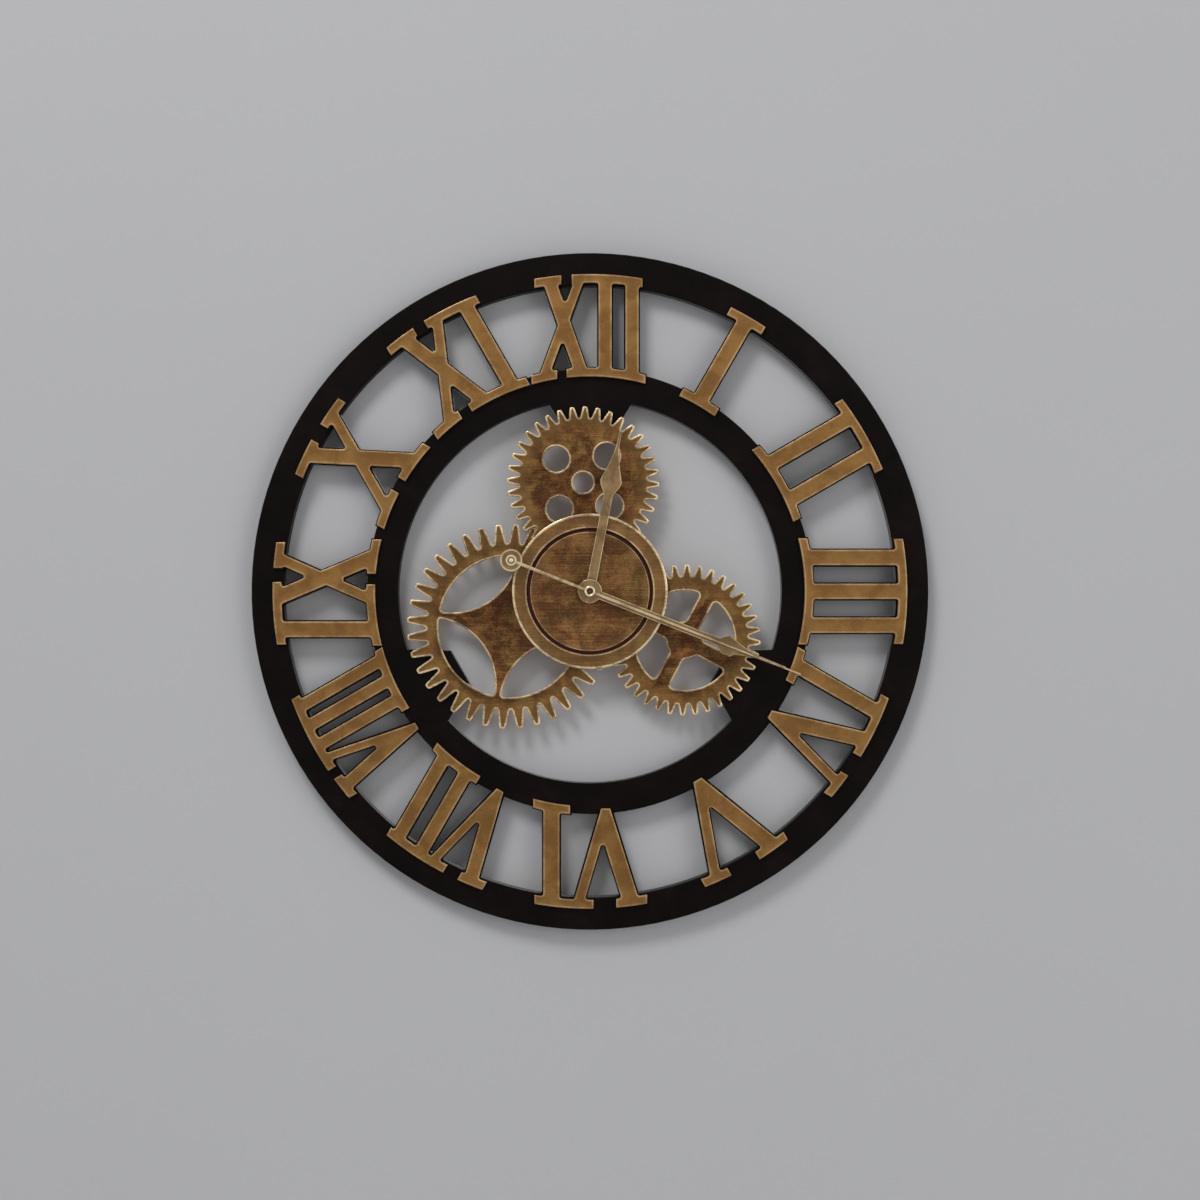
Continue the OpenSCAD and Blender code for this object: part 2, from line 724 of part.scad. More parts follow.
module hanger_screws() {
    slot_w = screw_r / 2;
    color("#c9c4b4") upright() for (side = [-1, 1]) at([side * screw_dx, hanger_y]) difference() {
        union() {
            cylinder(r1 = screw_head_r, r2 = screw_r, h = hanger_t);
            cylinder(r = screw_r, h = screw_l - screw_r);
            raise(screw_l - screw_r) cylinder(r1 = screw_r, r2 = screw_r / 4, h = screw_r);
        }
        for (a = [0, turn / 4]) rotate([0, 0, a]) raise(-over)
            linear_extrude(over + hanger_t / 2) square([screw_head_r, slot_w], center = true);
    }
}

// Movement case and its cover

module round_square(w, h, r) {
    square([w - 2 * r, h], center = true);
    square([w, h - 2 * r], center = true);
    for (x = [-1, 1], y = [-1, 1]) translate([x * (w / 2 - r), y * (h / 2 - r)]) circle(r);
}

module train_cavity_2d() {
    low = bay_wall_y + bay_wall;
    translate([0, (low + case_high_y) / 2]) square([case_in_w, case_high_y - low], center = true);
}

module movement_case() {
    depth = case_in_z - case_back_z;
    color("#1c1c1e") upright() {
        difference() {
            raise(case_back_z) linear_extrude(case_d) translate([0, case_mid_y])
                round_square(case_w, case_h, case_corner_r);
            raise(case_back_z - over) linear_extrude(depth + over) train_cavity_2d();
            raise(case_back_z - over) linear_extrude(depth + over) translate([0, battery_y])
                square([bay_l, bay_h], center = true);
            raise(case_in_z - over) cylinder(r = bush_r, h = case_wall + 2 * over);
            for (place = [third_at, drive_at, rotor_at]) at(place) raise(case_in_z - over)
                cylinder(r = arbor_r + run_gap, h = pivot_h + over);
        }
        at(motion_at) raise(motion_stud_z()) cylinder(r = stud_r, h = case_in_z - motion_stud_z());
        for (place = core_ends()) at(place) raise(core_z + stator_t)
            cylinder(r = post_r, h = case_in_z - core_z - stator_t);
        for (x = [-1, 1]) at([board_at[0] + x * board_w / 4, board_at[1]]) raise(board_z + board_t)
            cylinder(r = post_r, h = case_in_z - board_z - board_t);
        for (x = [-1, 1]) at([x * (case_in_w / 2 - post_r), case_high_y - post_r]) raise(cover_in_z)
            cylinder(r = post_r, h = case_in_z - cover_in_z);
    }
}

function motion_stud_z() = level_z(motion_level) - pinion_t / 2;
function core_ends() = [coil_at - [coil_l / 2 + core_overhang - core_w / 2, 0],
    coil_at + [coil_l / 2 + core_overhang - core_w / 2, 0]];

// The cover closes the train, and the battery bay below it stays open at the back
module movement_cover() {
    low = bay_wall_y;
    high = case_high_y - drop_gap / 2;
    wide = case_in_w - drop_gap;
    color("#242427") upright() difference() {
        union() {
            raise(case_back_z) linear_extrude(cover_t) translate([0, (low + bay_wall + drop_gap / 2 + high) / 2])
                square([wide, high - low - bay_wall - drop_gap / 2], center = true);
            at(knob_at) raise(case_back_z) cylinder(r = dish_r + dish_wall, h = dish_h + dish_wall);
        }
        at(knob_at) raise(case_back_z - over) cylinder(r = dish_r, h = dish_h + over);
        at(knob_at) raise(case_back_z) cylinder(r = knob_shaft_r + run_gap, h = dish_h + dish_wall + over);
        at([0, 0]) raise(cover_in_z - pivot_h) cylinder(r = second_arbor_r + run_gap, h = pivot_h + over);
        for (place = [third_at, drive_at, rotor_at]) at(place) raise(cover_in_z - pivot_h)
            cylinder(r = arbor_r + run_gap, h = pivot_h + over);
    }
}

module shaft_bushing() {
    bore = hour_pipe_r + run_gap;
    chamfer = drop_gap;
    color("#c9a24e") upright() difference() {
        union() {
            raise(case_in_z - flange_t) cylinder(r = flange_r, h = flange_t);
            raise(case_in_z) cylinder(r = bush_r, h = bush_top_z - case_in_z - chamfer);
            raise(bush_top_z - chamfer) cylinder(r1 = bush_r, r2 = bush_r - chamfer, h = chamfer);
        }
        raise(case_in_z - flange_t - over) cylinder(r = bore, h = bush_top_z - case_in_z + flange_t + 2 * over);
    }
}

module rubber_gasket() {
    color("#101010") upright() raise(case_front_z) difference() {
        cylinder(r = gasket_r, h = gasket_t);
        raise(-over) cylinder(r = bush_r, h = gasket_t + 2 * over);
    }
}

module brass_washer() {
    color("#d0aa55") upright() raise(disc_face_z) difference() {
        cylinder(r = washer_r, h = washer_t);
        raise(-over) cylinder(r = bush_r, h = washer_t + 2 * over);
    }
}

module hex_nut() {
    color("#d0aa55") upright() raise(nut_z) difference() {
        cylinder(r = nut_af / 2 / cos(turn / 12), h = nut_h, $fn = 6);
        raise(-over) cylinder(r = bush_r, h = nut_h + 2 * over);
    }
}

// Battery and what drives the train

module battery() {
    body_l = battery_l - nub_l;
    edge = nub_l / 2;
    color("#3d5a45") upright() translate([-battery_l / 2, battery_y, battery_z]) rotate([0, 90, 0])
        rotate_extrude() polygon([[0, 0], [cell_r - edge, 0], [cell_r, edge], [cell_r, body_l - edge],
            [cell_r - edge, body_l], [nub_r, body_l], [nub_r, battery_l], [0, battery_l]]);
}

// A flat plate at the nub, and a folded leaf at the other end
module battery_contacts() {
    wall_x = bay_l / 2;
    gap = wall_x - battery_l / 2;
    color("#c4c4c8") upright() {
        translate([battery_l / 2, battery_y - contact_w / 2, battery_z - contact_w / 2])
            cube([gap, contact_w, contact_w]);
        translate([0, battery_y, battery_z + contact_w / 2]) rotate([90, 0, 0]) translate([0, 0, -contact_w / 2])
            linear_extrude(contact_w) polygon([[-wall_x, 0], [-wall_x, -contact_w],
                [-wall_x + contact_t, -contact_w], [-battery_l / 2, -contact_w / 2],
                [-battery_l / 2, -contact_w / 2 + contact_t], [-wall_x + contact_t, -contact_w + 3 * contact_t],
                [-wall_x + contact_t, 0]]);
    }
}

module circuit_board() {
    color("#1f5a3a") upright() {
        at(board_at) raise(board_z) linear_extrude(board_t) square([board_w, board_h], center = true);
        at(board_at + [0, -board_h / 4]) raise(board_z - chip_h) cylinder(r = chip_r, h = chip_h);
    }
}

module quartz_crystal() {
    color("#d8d8dc") upright() translate([board_at[0] - can_l / 2, board_at[1] + board_h / 4, board_z - can_r])
        rotate([0, 90, 0]) cylinder(r = can_r, h = can_l);
}

module coil_bobbin() {
    core_l = coil_l + 2 * core_overhang;
    color("#e8e2d0") upright() {
        for (side = [-1, 1]) translate([coil_at[0] + side * (coil_l - coil_flange_t) / 2 - coil_flange_t / 2,
            coil_at[1], core_z + stator_t / 2]) rotate([0, 90, 0]) difference() {
                cylinder(r = coil_flange_r, h = coil_flange_t);
                raise(-over) linear_extrude(coil_flange_t + 2 * over) square([stator_t, core_w], center = true);
            }
        translate([coil_at[0] - core_l / 2, coil_at[1] - core_w / 2, core_z]) cube([core_l, core_w, stator_t]);
    }
}

module coil_winding() {
    wound_l = coil_l - 2 * coil_flange_t;
    color("#b0683a") upright() translate([coil_at[0] - wound_l / 2, coil_at[1], core_z + stator_t / 2])
        rotate([0, 90, 0]) difference() {
            cylinder(r = coil_r, h = wound_l);
            raise(-over) linear_extrude(wound_l + 2 * over) square([stator_t, core_w], center = true);
        }
}

// A sheet-iron bow from one end of the coil's core round the rotor to the other end
module stator() {
    left_x = core_ends()[0][0] - core_w / 2;
    right_x = core_ends()[1][0] + core_w / 2;
    top_y = coil_at[1] + core_w / 2;
    bar_y = 3.6 * magnet_r + stator_gap + core_w / 2;
    eye_w = 4 * magnet_r;
    eye_low = rotor_at[1] - magnet_r - 2 * stator_gap + arbor_r;
    color("#8e9094") upright() raise(core_z - stator_t) linear_extrude(stator_t) difference() {
        union() {
            translate([left_x, bar_y]) square([core_w, top_y - bar_y]);
            translate([left_x, bar_y]) square([rotor_at[0] - left_x, core_w / 2 + stator_gap]);
            translate([rotor_at[0] - eye_w / 2, eye_low]) square([eye_w, bar_y + core_w / 2 + stator_gap - eye_low]);
            translate([rotor_at[0], eye_low]) square([right_x - rotor_at[0], 2 * core_w]);
            translate([right_x - core_w, eye_low]) square([core_w, top_y - eye_low]);
        }
        at(rotor_at) circle(magnet_r + stator_gap);
    }
}

// Wheels of the train

module small_gear_2d(teeth, size, dir) {
    pitch_r = teeth * size / 2;
    radii = [pitch_r - tooth_foot_share * size, pitch_r, pitch_r + tooth_top_share * size];
    full = [for (r = radii) tooth_half(r, pitch_r, teeth)];
    halves = [tooth_waist_share * full[0], full[1], full[2]];
    polygon([for (i = [0:teeth - 1])
        let (mid = dir + i * turn / teeth)
        each concat(
            [for (k = [0:2]) radii[k] * [cos(mid - halves[k]), sin(mid - halves[k])]],
            [for (k = [2:-1:0]) radii[k] * [cos(mid + halves[k]), sin(mid + halves[k])]])]);
}

module wheel(teeth, size, dir, level) {
    raise(level_z(level) - wheel_t / 2) linear_extrude(wheel_t) small_gear_2d(teeth, size, dir);
}

module pinion(teeth, size, dir, level) {
    raise(level_z(level) - pinion_t / 2) linear_extrude(pinion_t) small_gear_2d(teeth, size, dir);
}

module thin_arbor() {
    rear = cover_in_z - pivot_h + drop_gap;
    front = case_in_z + pivot_h - drop_gap;
    raise(rear) cylinder(r = arbor_r, h = front - rear);
}

module rotor() {
    magnet_z = level_z(second_level) - magnet_h / 2;
    color("#6a6e78") upright() at(rotor_at) {
        thin_arbor();
        raise(magnet_z) cylinder(r = magnet_r, h = magnet_h);
        pinion(rotor_teeth, rotor_module, mesh_dir(rotor_dir, drive_teeth, 0, rotor_teeth), drive_level);
        raise(level_z(drive_level)) cylinder(r = 1.5 * arbor_r, h = magnet_z - level_z(drive_level));
    }
}

module drive_wheel() {
    color("#e9e6dc") upright() at(drive_at) {
        thin_arbor();
        wheel(drive_teeth, rotor_module, 0, drive_level);
        pinion(drive_pinion_teeth, train_module, mesh_dir(drive_dir, second_teeth, 0, drive_pinion_teeth),
            second_level);
        raise(level_z(drive_level)) cylinder(r = 2 * arbor_r, h = level_h);
    }
}

module second_wheel() {
    rear = cover_in_z - pivot_h + drop_gap;
    color("#e9e6dc") upright() {
        raise(rear) cylinder(r = second_arbor_r, h = second_tip_z() - rear);
        wheel(second_teeth, train_module, 0, second_level);
        pinion(second_pinion_teeth, train_module, 0, third_level);
        raise(level_z(second_level)) cylinder(r = 1.2 * second_arbor_r, h = level_h);
    }
}

function second_tip_z() = second_hand_z + second_t + drop_gap;

module third_wheel() {
    color("#e9e6dc") upright() at(third_at) {
        thin_arbor();
        wheel(third_teeth, train_module, mesh_dir(third_dir, second_pinion_teeth, 0, third_teeth), third_level);
        pinion(third_pinion_teeth, centre_module, 0, centre_level);
        raise(level_z(third_level)) cylinder(r = 1.5 * arbor_r, h = level_h);
    }
}

// The centre wheel turns the minute arbor through friction, and slips when the hands are set
module centre_wheel() {
    mesh = mesh_dir(third_dir + turn / 2, third_pinion_teeth, 0, centre_teeth);
    color("#c9a24e") upright() difference() {
        wheel(centre_teeth, centre_module, mesh, centre_level);
        raise(level_z(centre_level) - level_h) cylinder(r = minute_arbor_r + run_gap, h = 2 * level_h);
    }
}

module minute_arbor() {
    rear = level_z(third_level) + pinion_t / 2 + drop_gap;
    tip = minute_hand_z + hand_t + pipe_proud;
    seat_z = level_z(centre_level) - wheel_t / 2;
    seat_t = 2 * drop_gap;
    color("#b9bcc2") upright() difference() {
        union() {
            raise(rear) cylinder(r = minute_arbor_r, h = tip - rear);
            raise(seat_z - seat_t) cylinder(r = 1.6 * minute_arbor_r, h = seat_t);
            pinion(cannon_teeth, motion_module, 0, motion_level);
        }
        raise(rear - over) cylinder(r = second_arbor_r + run_gap, h = tip - rear + 2 * over);
    }
}

module motion_wheel() {
    color("#e9e6dc") upright() at(motion_at) difference() {
        union() {
            wheel(motion_teeth, motion_module, motion_mesh(), motion_level);
            pinion(motion_pinion_teeth, hour_module, 0, hour_level);
            raise(level_z(motion_level)) cylinder(r = 1.5 * stud_r, h = level_h);
        }
        raise(motion_stud_z() - over) cylinder(r = stud_r + run_gap, h = case_in_z - motion_stud_z() + over);
    }
}

function motion_mesh() = mesh_dir(motion_dir, cannon_teeth, 0, motion_teeth);

module hour_wheel() {
    rear = level_z(hour_level) - wheel_t / 2;
    tip = hour_hand_z + hand_t + pipe_proud;
    color("#e9e6dc") upright() difference() {
        union() {
            wheel(hour_teeth, hour_module, mesh_dir(motion_dir + turn / 2, motion_pinion_teeth, 0, hour_teeth),
                hour_level);
            raise(rear) cylinder(r = hour_pipe_r, h = tip - rear);
        }
        raise(rear - over) cylinder(r = minute_arbor_r + run_gap, h = tip - rear + 2 * over);
    }
}

module setting_knob() {
    back = case_back_z + drop_gap;
    tip = level_z(motion_level) + pinion_t / 2;
    notch_r = PI * knob_r / knob_notches / 2;
    color("#e6e6e6") upright() at(knob_at) {
        difference() {
            raise(back) cylinder(r = knob_r, h = knob_h);
            for (i = [0:knob_notches - 1]) rotate([0, 0, i * turn / knob_notches]) translate([knob_r, 0, back - over])
                cylinder(r = notch_r, h = knob_h + 2 * over, $fn = 24);
        }
        raise(back) cylinder(r = knob_shaft_r, h = tip - back);
        pinion(knob_teeth, motion_module, mesh_dir(motion_dir, motion_teeth, motion_mesh(), knob_teeth),
            motion_level);
    }
}

// Hands

// Half the width of a leaf at a share of its length, as a share of its widest half: it swells
// from the shank on a sine, and falls to the tip on a hollow curve
function leaf_half(place, peak, neck, tip) =
    place < peak ? neck + (1 - neck) * sin(turn / 4 * place / peak)
    : tip + (1 - tip) * pow((1 - place) / (1 - peak), leaf_curve);

// One side of a spade hand, from the hub to the tip, as [half width, distance from the axis]
function spade_side(long, shank_w, start, leaf_l, half_w, peak) =
    let (neck = shank_taper_share * shank_w / 2, tip = tip_w / 2)
    [[shank_w / 2, 0],
        for (i = [0:leaf_steps])
            let (place = i / leaf_steps)
            [half_w * leaf_half(place, peak, neck / half_w, tip / half_w), start + place * leaf_l],
        [tip_end_share * tip, long]];

module spade_hand(long, shank_w, start, leaf_l, half_w, peak_share, bore_r) {
    side = spade_side(long, shank_w, start, leaf_l, half_w, peak_share);
    count = len(side);
    difference() {
        union() {
            linear_extrude(hand_t) polygon([for (p = side) p,
                for (i = [count - 1:-1:0]) [-side[i][0], side[i][1]]]);
            cylinder(r = boss_r, h = hand_t);
        }
        raise(-over) cylinder(r = bore_r, h = hand_t + 2 * over);
    }
}

module hour_hand() {
    color("#8f7a50") upright() dial_turn(hour_angle) raise(hour_hand_z)
        spade_hand(hour_len, hour_shank_w, hour_leaf_start, hour_leaf_l, hour_leaf_w, hour_peak_share,
            hour_pipe_r);
}

module minute_hand() {
    color("#8f7a50") upright() dial_turn(minute_angle) raise(minute_hand_z)
        spade_hand(minute_len, minute_shank_w, minute_leaf_start, minute_leaf_l, minute_leaf_w,
            minute_peak_share, minute_arbor_r);
}

module second_hand() {
    eyelet_z = second_hand_z - (eyelet_h - second_t) / 2;
    eye_h = second_hand_z + second_t - eyelet_z;
    color("#8f7a50") upright() dial_turn(second_angle) difference() {
        union() {
            raise(second_hand_z) linear_extrude(second_t) polygon([[-second_w / 2, -weight_dist],
                [-second_w / 4, second_len], [second_w / 4, second_len], [second_w / 2, -weight_dist]]);
            raise(eyelet_z) cylinder(r = eyelet_r, h = eyelet_h);
            at([0, -weight_dist]) raise(second_hand_z) cylinder(r = weight_r, h = second_t);
            at([0, -weight_dist]) raise(second_hand_z) cylinder(r = weight_ring_r, h = 2 * second_t);
        }
        raise(eyelet_z - over) cylinder(r = second_arbor_r, h = eyelet_h + 2 * over);
        raise(eyelet_z + eye_h) cylinder(r = eyelet_eye_r, h = eyelet_h);
        at([0, -weight_dist]) raise(second_hand_z + second_t) cylinder(r = weight_eye_r, h = eyelet_h);
    }
}

outer_ring();
inner_ring();
for (hour = [1:hours]) {
    numeral_back(hour);
    numeral(hour);
}
left_gear();
right_gear();
top_gear();
gear_spacers();
centre_disc();
hanger_plate();
hanger_screws();
movement_case();
movement_cover();
shaft_bushing();
rubber_gasket();
brass_washer();
hex_nut();
battery();
battery_contacts();
circuit_board();
quartz_crystal();
coil_bobbin();
coil_winding();
stator();
rotor();
drive_wheel();
second_wheel();
third_wheel();
centre_wheel();
minute_arbor();
motion_wheel();
hour_wheel();
setting_knob();
hour_hand();
minute_hand();
second_hand();
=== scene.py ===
import json
import math

import bmesh
import bpy
import numpy as np
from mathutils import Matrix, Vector
from mathutils.geometry import delaunay_2d_cdt


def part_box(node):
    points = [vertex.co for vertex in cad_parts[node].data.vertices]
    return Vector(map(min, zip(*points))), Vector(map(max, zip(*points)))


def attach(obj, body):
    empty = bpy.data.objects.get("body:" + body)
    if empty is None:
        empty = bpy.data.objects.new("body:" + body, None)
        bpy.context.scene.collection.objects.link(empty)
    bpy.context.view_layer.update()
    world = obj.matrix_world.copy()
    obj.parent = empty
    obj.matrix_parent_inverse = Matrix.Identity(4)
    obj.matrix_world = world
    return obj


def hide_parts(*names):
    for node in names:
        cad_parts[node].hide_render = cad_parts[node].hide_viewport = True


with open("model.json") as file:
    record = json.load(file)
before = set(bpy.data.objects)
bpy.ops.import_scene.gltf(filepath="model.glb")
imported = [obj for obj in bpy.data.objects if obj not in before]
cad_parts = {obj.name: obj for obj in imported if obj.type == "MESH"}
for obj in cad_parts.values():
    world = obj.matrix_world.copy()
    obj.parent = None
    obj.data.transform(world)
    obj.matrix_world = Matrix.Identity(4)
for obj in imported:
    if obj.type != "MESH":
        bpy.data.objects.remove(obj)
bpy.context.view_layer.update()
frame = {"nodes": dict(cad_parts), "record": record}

nodes = frame["nodes"]
bodyOf = {name: body for body, names in frame["record"]["behaviour"]["bodies"].items() for name in names}
slotOf = {part["node"]: part["material_slot"] for part in frame["record"]["subparts"]}
scene = bpy.context.scene
mm = 0.001
micron = 1e-6

# What a user would change in the picture: metres, linear colours and strengths
picture = {
    "cameraDistance": 1.6,
    "viewWidth": 0.8036,
    "centreX": 0.0067,
    "centreZ": -0.0057,
    "sensorWidth": 36,
    "clipStart": 0.05,
    "clipEnd": 20,
    "wallColour": (0.60, 0.60, 0.61),
    "wallDepth": 0.0008,
    "floorColour": (0.70, 0.70, 0.70),
    "floorHeight": -1.25,
    "halfRoom": 5.0,
    "paintRoughness": 0.85,
    "paintShade": 0.985,
    "paintClouds": (2.2, 4.0, 0.55, 0.0),
    "paintSteps": (0.3, 0.7),
    "skyColour": (0.80, 0.81, 0.83),
    "skyStrength": 0.42,
    "backgroundStrength": 0.95,
}

# Place, size and power of each soft lamp, all turned to the dial's middle
lamps = {
    "keyLamp": {"place": (-0.9, -1.9, 2.0), "size": 1.0, "power": 30.0},
    "fillLamp": {"place": (1.7, -1.9, 0.2), "size": 1.6, "power": 9.0},
    "backKeyLamp": {"place": (0.7, 2.2, 1.1), "size": 1.2, "power": 30.0},
    "backFillLamp": {"place": (-0.9, 2.2, -0.1), "size": 1.4, "power": 14.0},
}


def makeNode(tree, kind, inputs=(), **settings):
    # The settings come first, because they decide the sockets
    # An input is another node's socket or a plain value
    made = tree.nodes.new(kind)
    for key, value in settings.items():
        setattr(made, key, value)
    for key, value in dict(inputs).items():
        socket = made.inputs[key]
        if isinstance(value, bpy.types.NodeSocket):
            tree.links.new(value, socket)
        elif socket.type == "RGBA":
            socket.default_value = (*value, 1)
        else:
            socket.default_value = value
    return made


def mixColour(tree, share, first, second, blend="MIX"):
    # Sockets 0, 6 and 7 of a colour mix are its factor and its two colours
    return makeNode(tree, "ShaderNodeMix", {0: share, 6: first, 7: second},
                    data_type="RGBA", blend_type=blend).outputs[2]


def combine(tree, operation, *values):
    return makeNode(tree, "ShaderNodeMath", enumerate(values), operation=operation).outputs[0]


def remap(tree, value, low, high, toLow=0.0, toHigh=1.0):
    return makeNode(tree, "ShaderNodeMapRange", {"Value": value, "From Min": low, "From Max": high,
                                                 "To Min": toLow, "To Max": toHigh},
                    interpolation_type="SMOOTHSTEP").outputs[0]


def makeNoise(tree, vector, scale, detail, roughness, distortion):
    return makeNode(tree, "ShaderNodeTexNoise", {"Vector": vector, "Scale": scale, "Detail": detail,
                                                 "Roughness": roughness, "Distortion": distortion}).outputs[0]


def startGroup(name, inputs, outputs):
    # A shader group with its named sockets, listed by kind, and what it is given
    tree = bpy.data.node_groups.new(name, "ShaderNodeTree")
    for direction, kinds in (("INPUT", inputs), ("OUTPUT", outputs)):
        for kind, names in kinds.items():
            for socket in names:
                tree.interface.new_socket(socket, in_out=direction, socket_type="NodeSocket" + kind)
    return tree, makeNode(tree, "NodeGroupInput").outputs


# Detail, roughness and distortion of each mask's noise, and the levels at which the mask is clear and full
wearMasks = {
    "Mottle": (8.0, 0.62, 0.5, 0.34, 0.68),
    "Stain": (5.0, 0.66, 1.2, 0.50, 0.72),
    "Streak": (5.0, 0.7, 0.0, 0.34, 0.70),
    "Grain": (2.0, 0.7, 0.0, 0.30, 0.74),
}
stainScale = 0.43  # stains a metre, as a share of the patches a metre


def makeWearGroup():
    # Four masks: broad mottling, dark stains, brush streaks and fine grain
    tree, given = startGroup("surfaceWear", {"Vector": ("Place", "Streaks"), "Float": ("Patches", "Grains")},
                             {"Float": tuple(wearMasks)})
    place = given["Place"]
    stretched = makeNode(tree, "ShaderNodeVectorMath", {0: place, 1: given["Streaks"]},
                         operation="MULTIPLY").outputs[0]
    sources = {"Mottle": (place, given["Patches"]),
               "Stain": (place, combine(tree, "MULTIPLY", given["Patches"], stainScale)),
               "Streak": (stretched, 1.0),
               "Grain": (place, given["Grains"])}
    masks = {}
    for mask, (detail, roughness, distortion, clear, full) in wearMasks.items():
        masks[mask] = remap(tree, makeNoise(tree, *sources[mask], detail, roughness, distortion), clear, full)
    makeNode(tree, "NodeGroupOutput", masks)
    return tree


# Tones at which the dark, the middle and the light colour are full
toneSteps = (0.0, 0.5, 1.1)


def makePatinaGroup():
    # The tone runs from dark over mid to light, stains darken it, and a slow tint makes it warmer or cooler
    tree, given = startGroup("patina", {"Float": ("Mottle", "Stain", "Streak", "Grain", "Tint",
                                                  "Stain Share", "Streak Share", "Grain Share"),
                                        "Color": ("Dark", "Mid", "Light", "Warm", "Cool")},
                             {"Color": ("Colour",), "Float": ("Tone", "Height")})
    tone = given["Mottle"]
    for mask in ("Streak", "Grain"):
        tone = combine(tree, "MULTIPLY_ADD", combine(tree, "SUBTRACT", given[mask], 0.5),
                       given[mask + " Share"], tone)
    colour = mixColour(tree, remap(tree, tone, *toneSteps[:2]), given["Dark"], given["Mid"])
    colour = mixColour(tree, remap(tree, tone, *toneSteps[1:]), colour, given["Light"])
    stained = combine(tree, "MULTIPLY", given["Stain"], given["Stain Share"])
    colour = mixColour(tree, stained, colour, given["Dark"])
    tint = mixColour(tree, given["Tint"], given["Warm"], given["Cool"])
    colour = mixColour(tree, 1.0, colour, tint, "MULTIPLY")
    height = combine(tree, "ADD", combine(tree, "MULTIPLY", given["Streak"], given["Streak Share"]),
                     combine(tree, "MULTIPLY", given["Grain"], given["Grain Share"]))
    makeNode(tree, "NodeGroupOutput", {"Colour": colour, "Tone": tone, "Height": height})
    return tree


# Shares of the outer radius between which rims get rubbed lighter and tips get a painted highlight, and that
# highlight's strength at the tips' two ends
rubAndHighlightReach = {"rim": (0.62, 0.84), "tip": (0.86, 0.98), "tipShare": (0.72, 1.2)}


def makeRimRubTipHighlightGroup():
    # Rims are rubbed lighter than the web, and tooth tips get a stronger edge colour as a painted highlight.
    # Reach is the distance from the middle, 1 at the edge
    tree, given = startGroup("rimRubTipHighlight", {"Color": ("Colour", "Light"), "Float": ("Reach", "Rim Share")},
                             {"Color": ("Colour",), "Float": ("Tip Share",)})
    rubbed = combine(tree, "MULTIPLY", remap(tree, given["Reach"], *rubAndHighlightReach["rim"]), given["Rim Share"])
    tipShare = remap(tree, given["Reach"], *rubAndHighlightReach["tip"], *rubAndHighlightReach["tipShare"])
    makeNode(tree, "NodeGroupOutput", {"Colour": mixColour(tree, rubbed, given["Colour"], given["Light"]),
                                       "Tip Share": tipShare})
    return tree


# Darker tones keep less of the light edge colour, which is partly wear and partly painted highlight, and
# those edges and the painted near-white highlights are smoother than the rest
edgeWearAndHighlight = {"tones": (-0.2, 0.8), "shares": (0.25, 1.0), "wearAndHighlightRough": 0.55, "highlightRough": 0.7,
            "highlightColour": (0.88, 0.77, 0.53)}


def makeEdgeWearAndHighlightGroup():
    # The lip mask is above zero on edges painted lighter for wear and highlight, above one where a near-white
    # highlight is painted, and below zero where shade is painted dark in grooves and hollows
    tree, given = startGroup("edgeWearAndHighlight", {"Color": ("Colour", "Edge", "Painted Highlight", "Painted Shade"),
                                          "Float": ("Rough", "Lip", "Tone", "Edge Share", "Tip Share")},
                             {"Color": ("Colour",), "Float": ("Rough",)})
    lip, rough = given["Lip"], given["Rough"]
    kept = remap(tree, given["Tone"], *edgeWearAndHighlight["tones"], *edgeWearAndHighlight["shares"])
    share = combine(tree, "MULTIPLY", combine(tree, "MULTIPLY", kept, given["Edge Share"]),
                    given["Tip Share"])
    wearAndHighlight = combine(tree, "MULTIPLY", remap(tree, lip, 0.0, 1.0), share)
    paintedHighlight = remap(tree, lip, 1.0, 2.0)
    groove = combine(tree, "MAXIMUM", combine(tree, "MULTIPLY", lip, -1.0), 0.0)
    colour = mixColour(tree, wearAndHighlight, given["Colour"], given["Edge"])
    colour = mixColour(tree, paintedHighlight, colour, given["Painted Highlight"])
    colour = mixColour(tree, groove, colour, given["Painted Shade"])
    rough = combine(tree, "MULTIPLY", rough, remap(tree, wearAndHighlight, 0.0, 1.0, 1.0, edgeWearAndHighlight["wearAndHighlightRough"]))
    rough = combine(tree, "MULTIPLY", rough, remap(tree, paintedHighlight, 0.0, 1.0, 1.0, edgeWearAndHighlight["highlightRough"]))
    makeNode(tree, "NodeGroupOutput", {"Colour": colour, "Rough": rough})
    return tree


groups = {"wear": makeWearGroup(), "patina": makePatinaGroup(), "rimRubTipHighlight": makeRimRubTipHighlightGroup(),
          "edgeWearAndHighlight": makeEdgeWearAndHighlightGroup()}
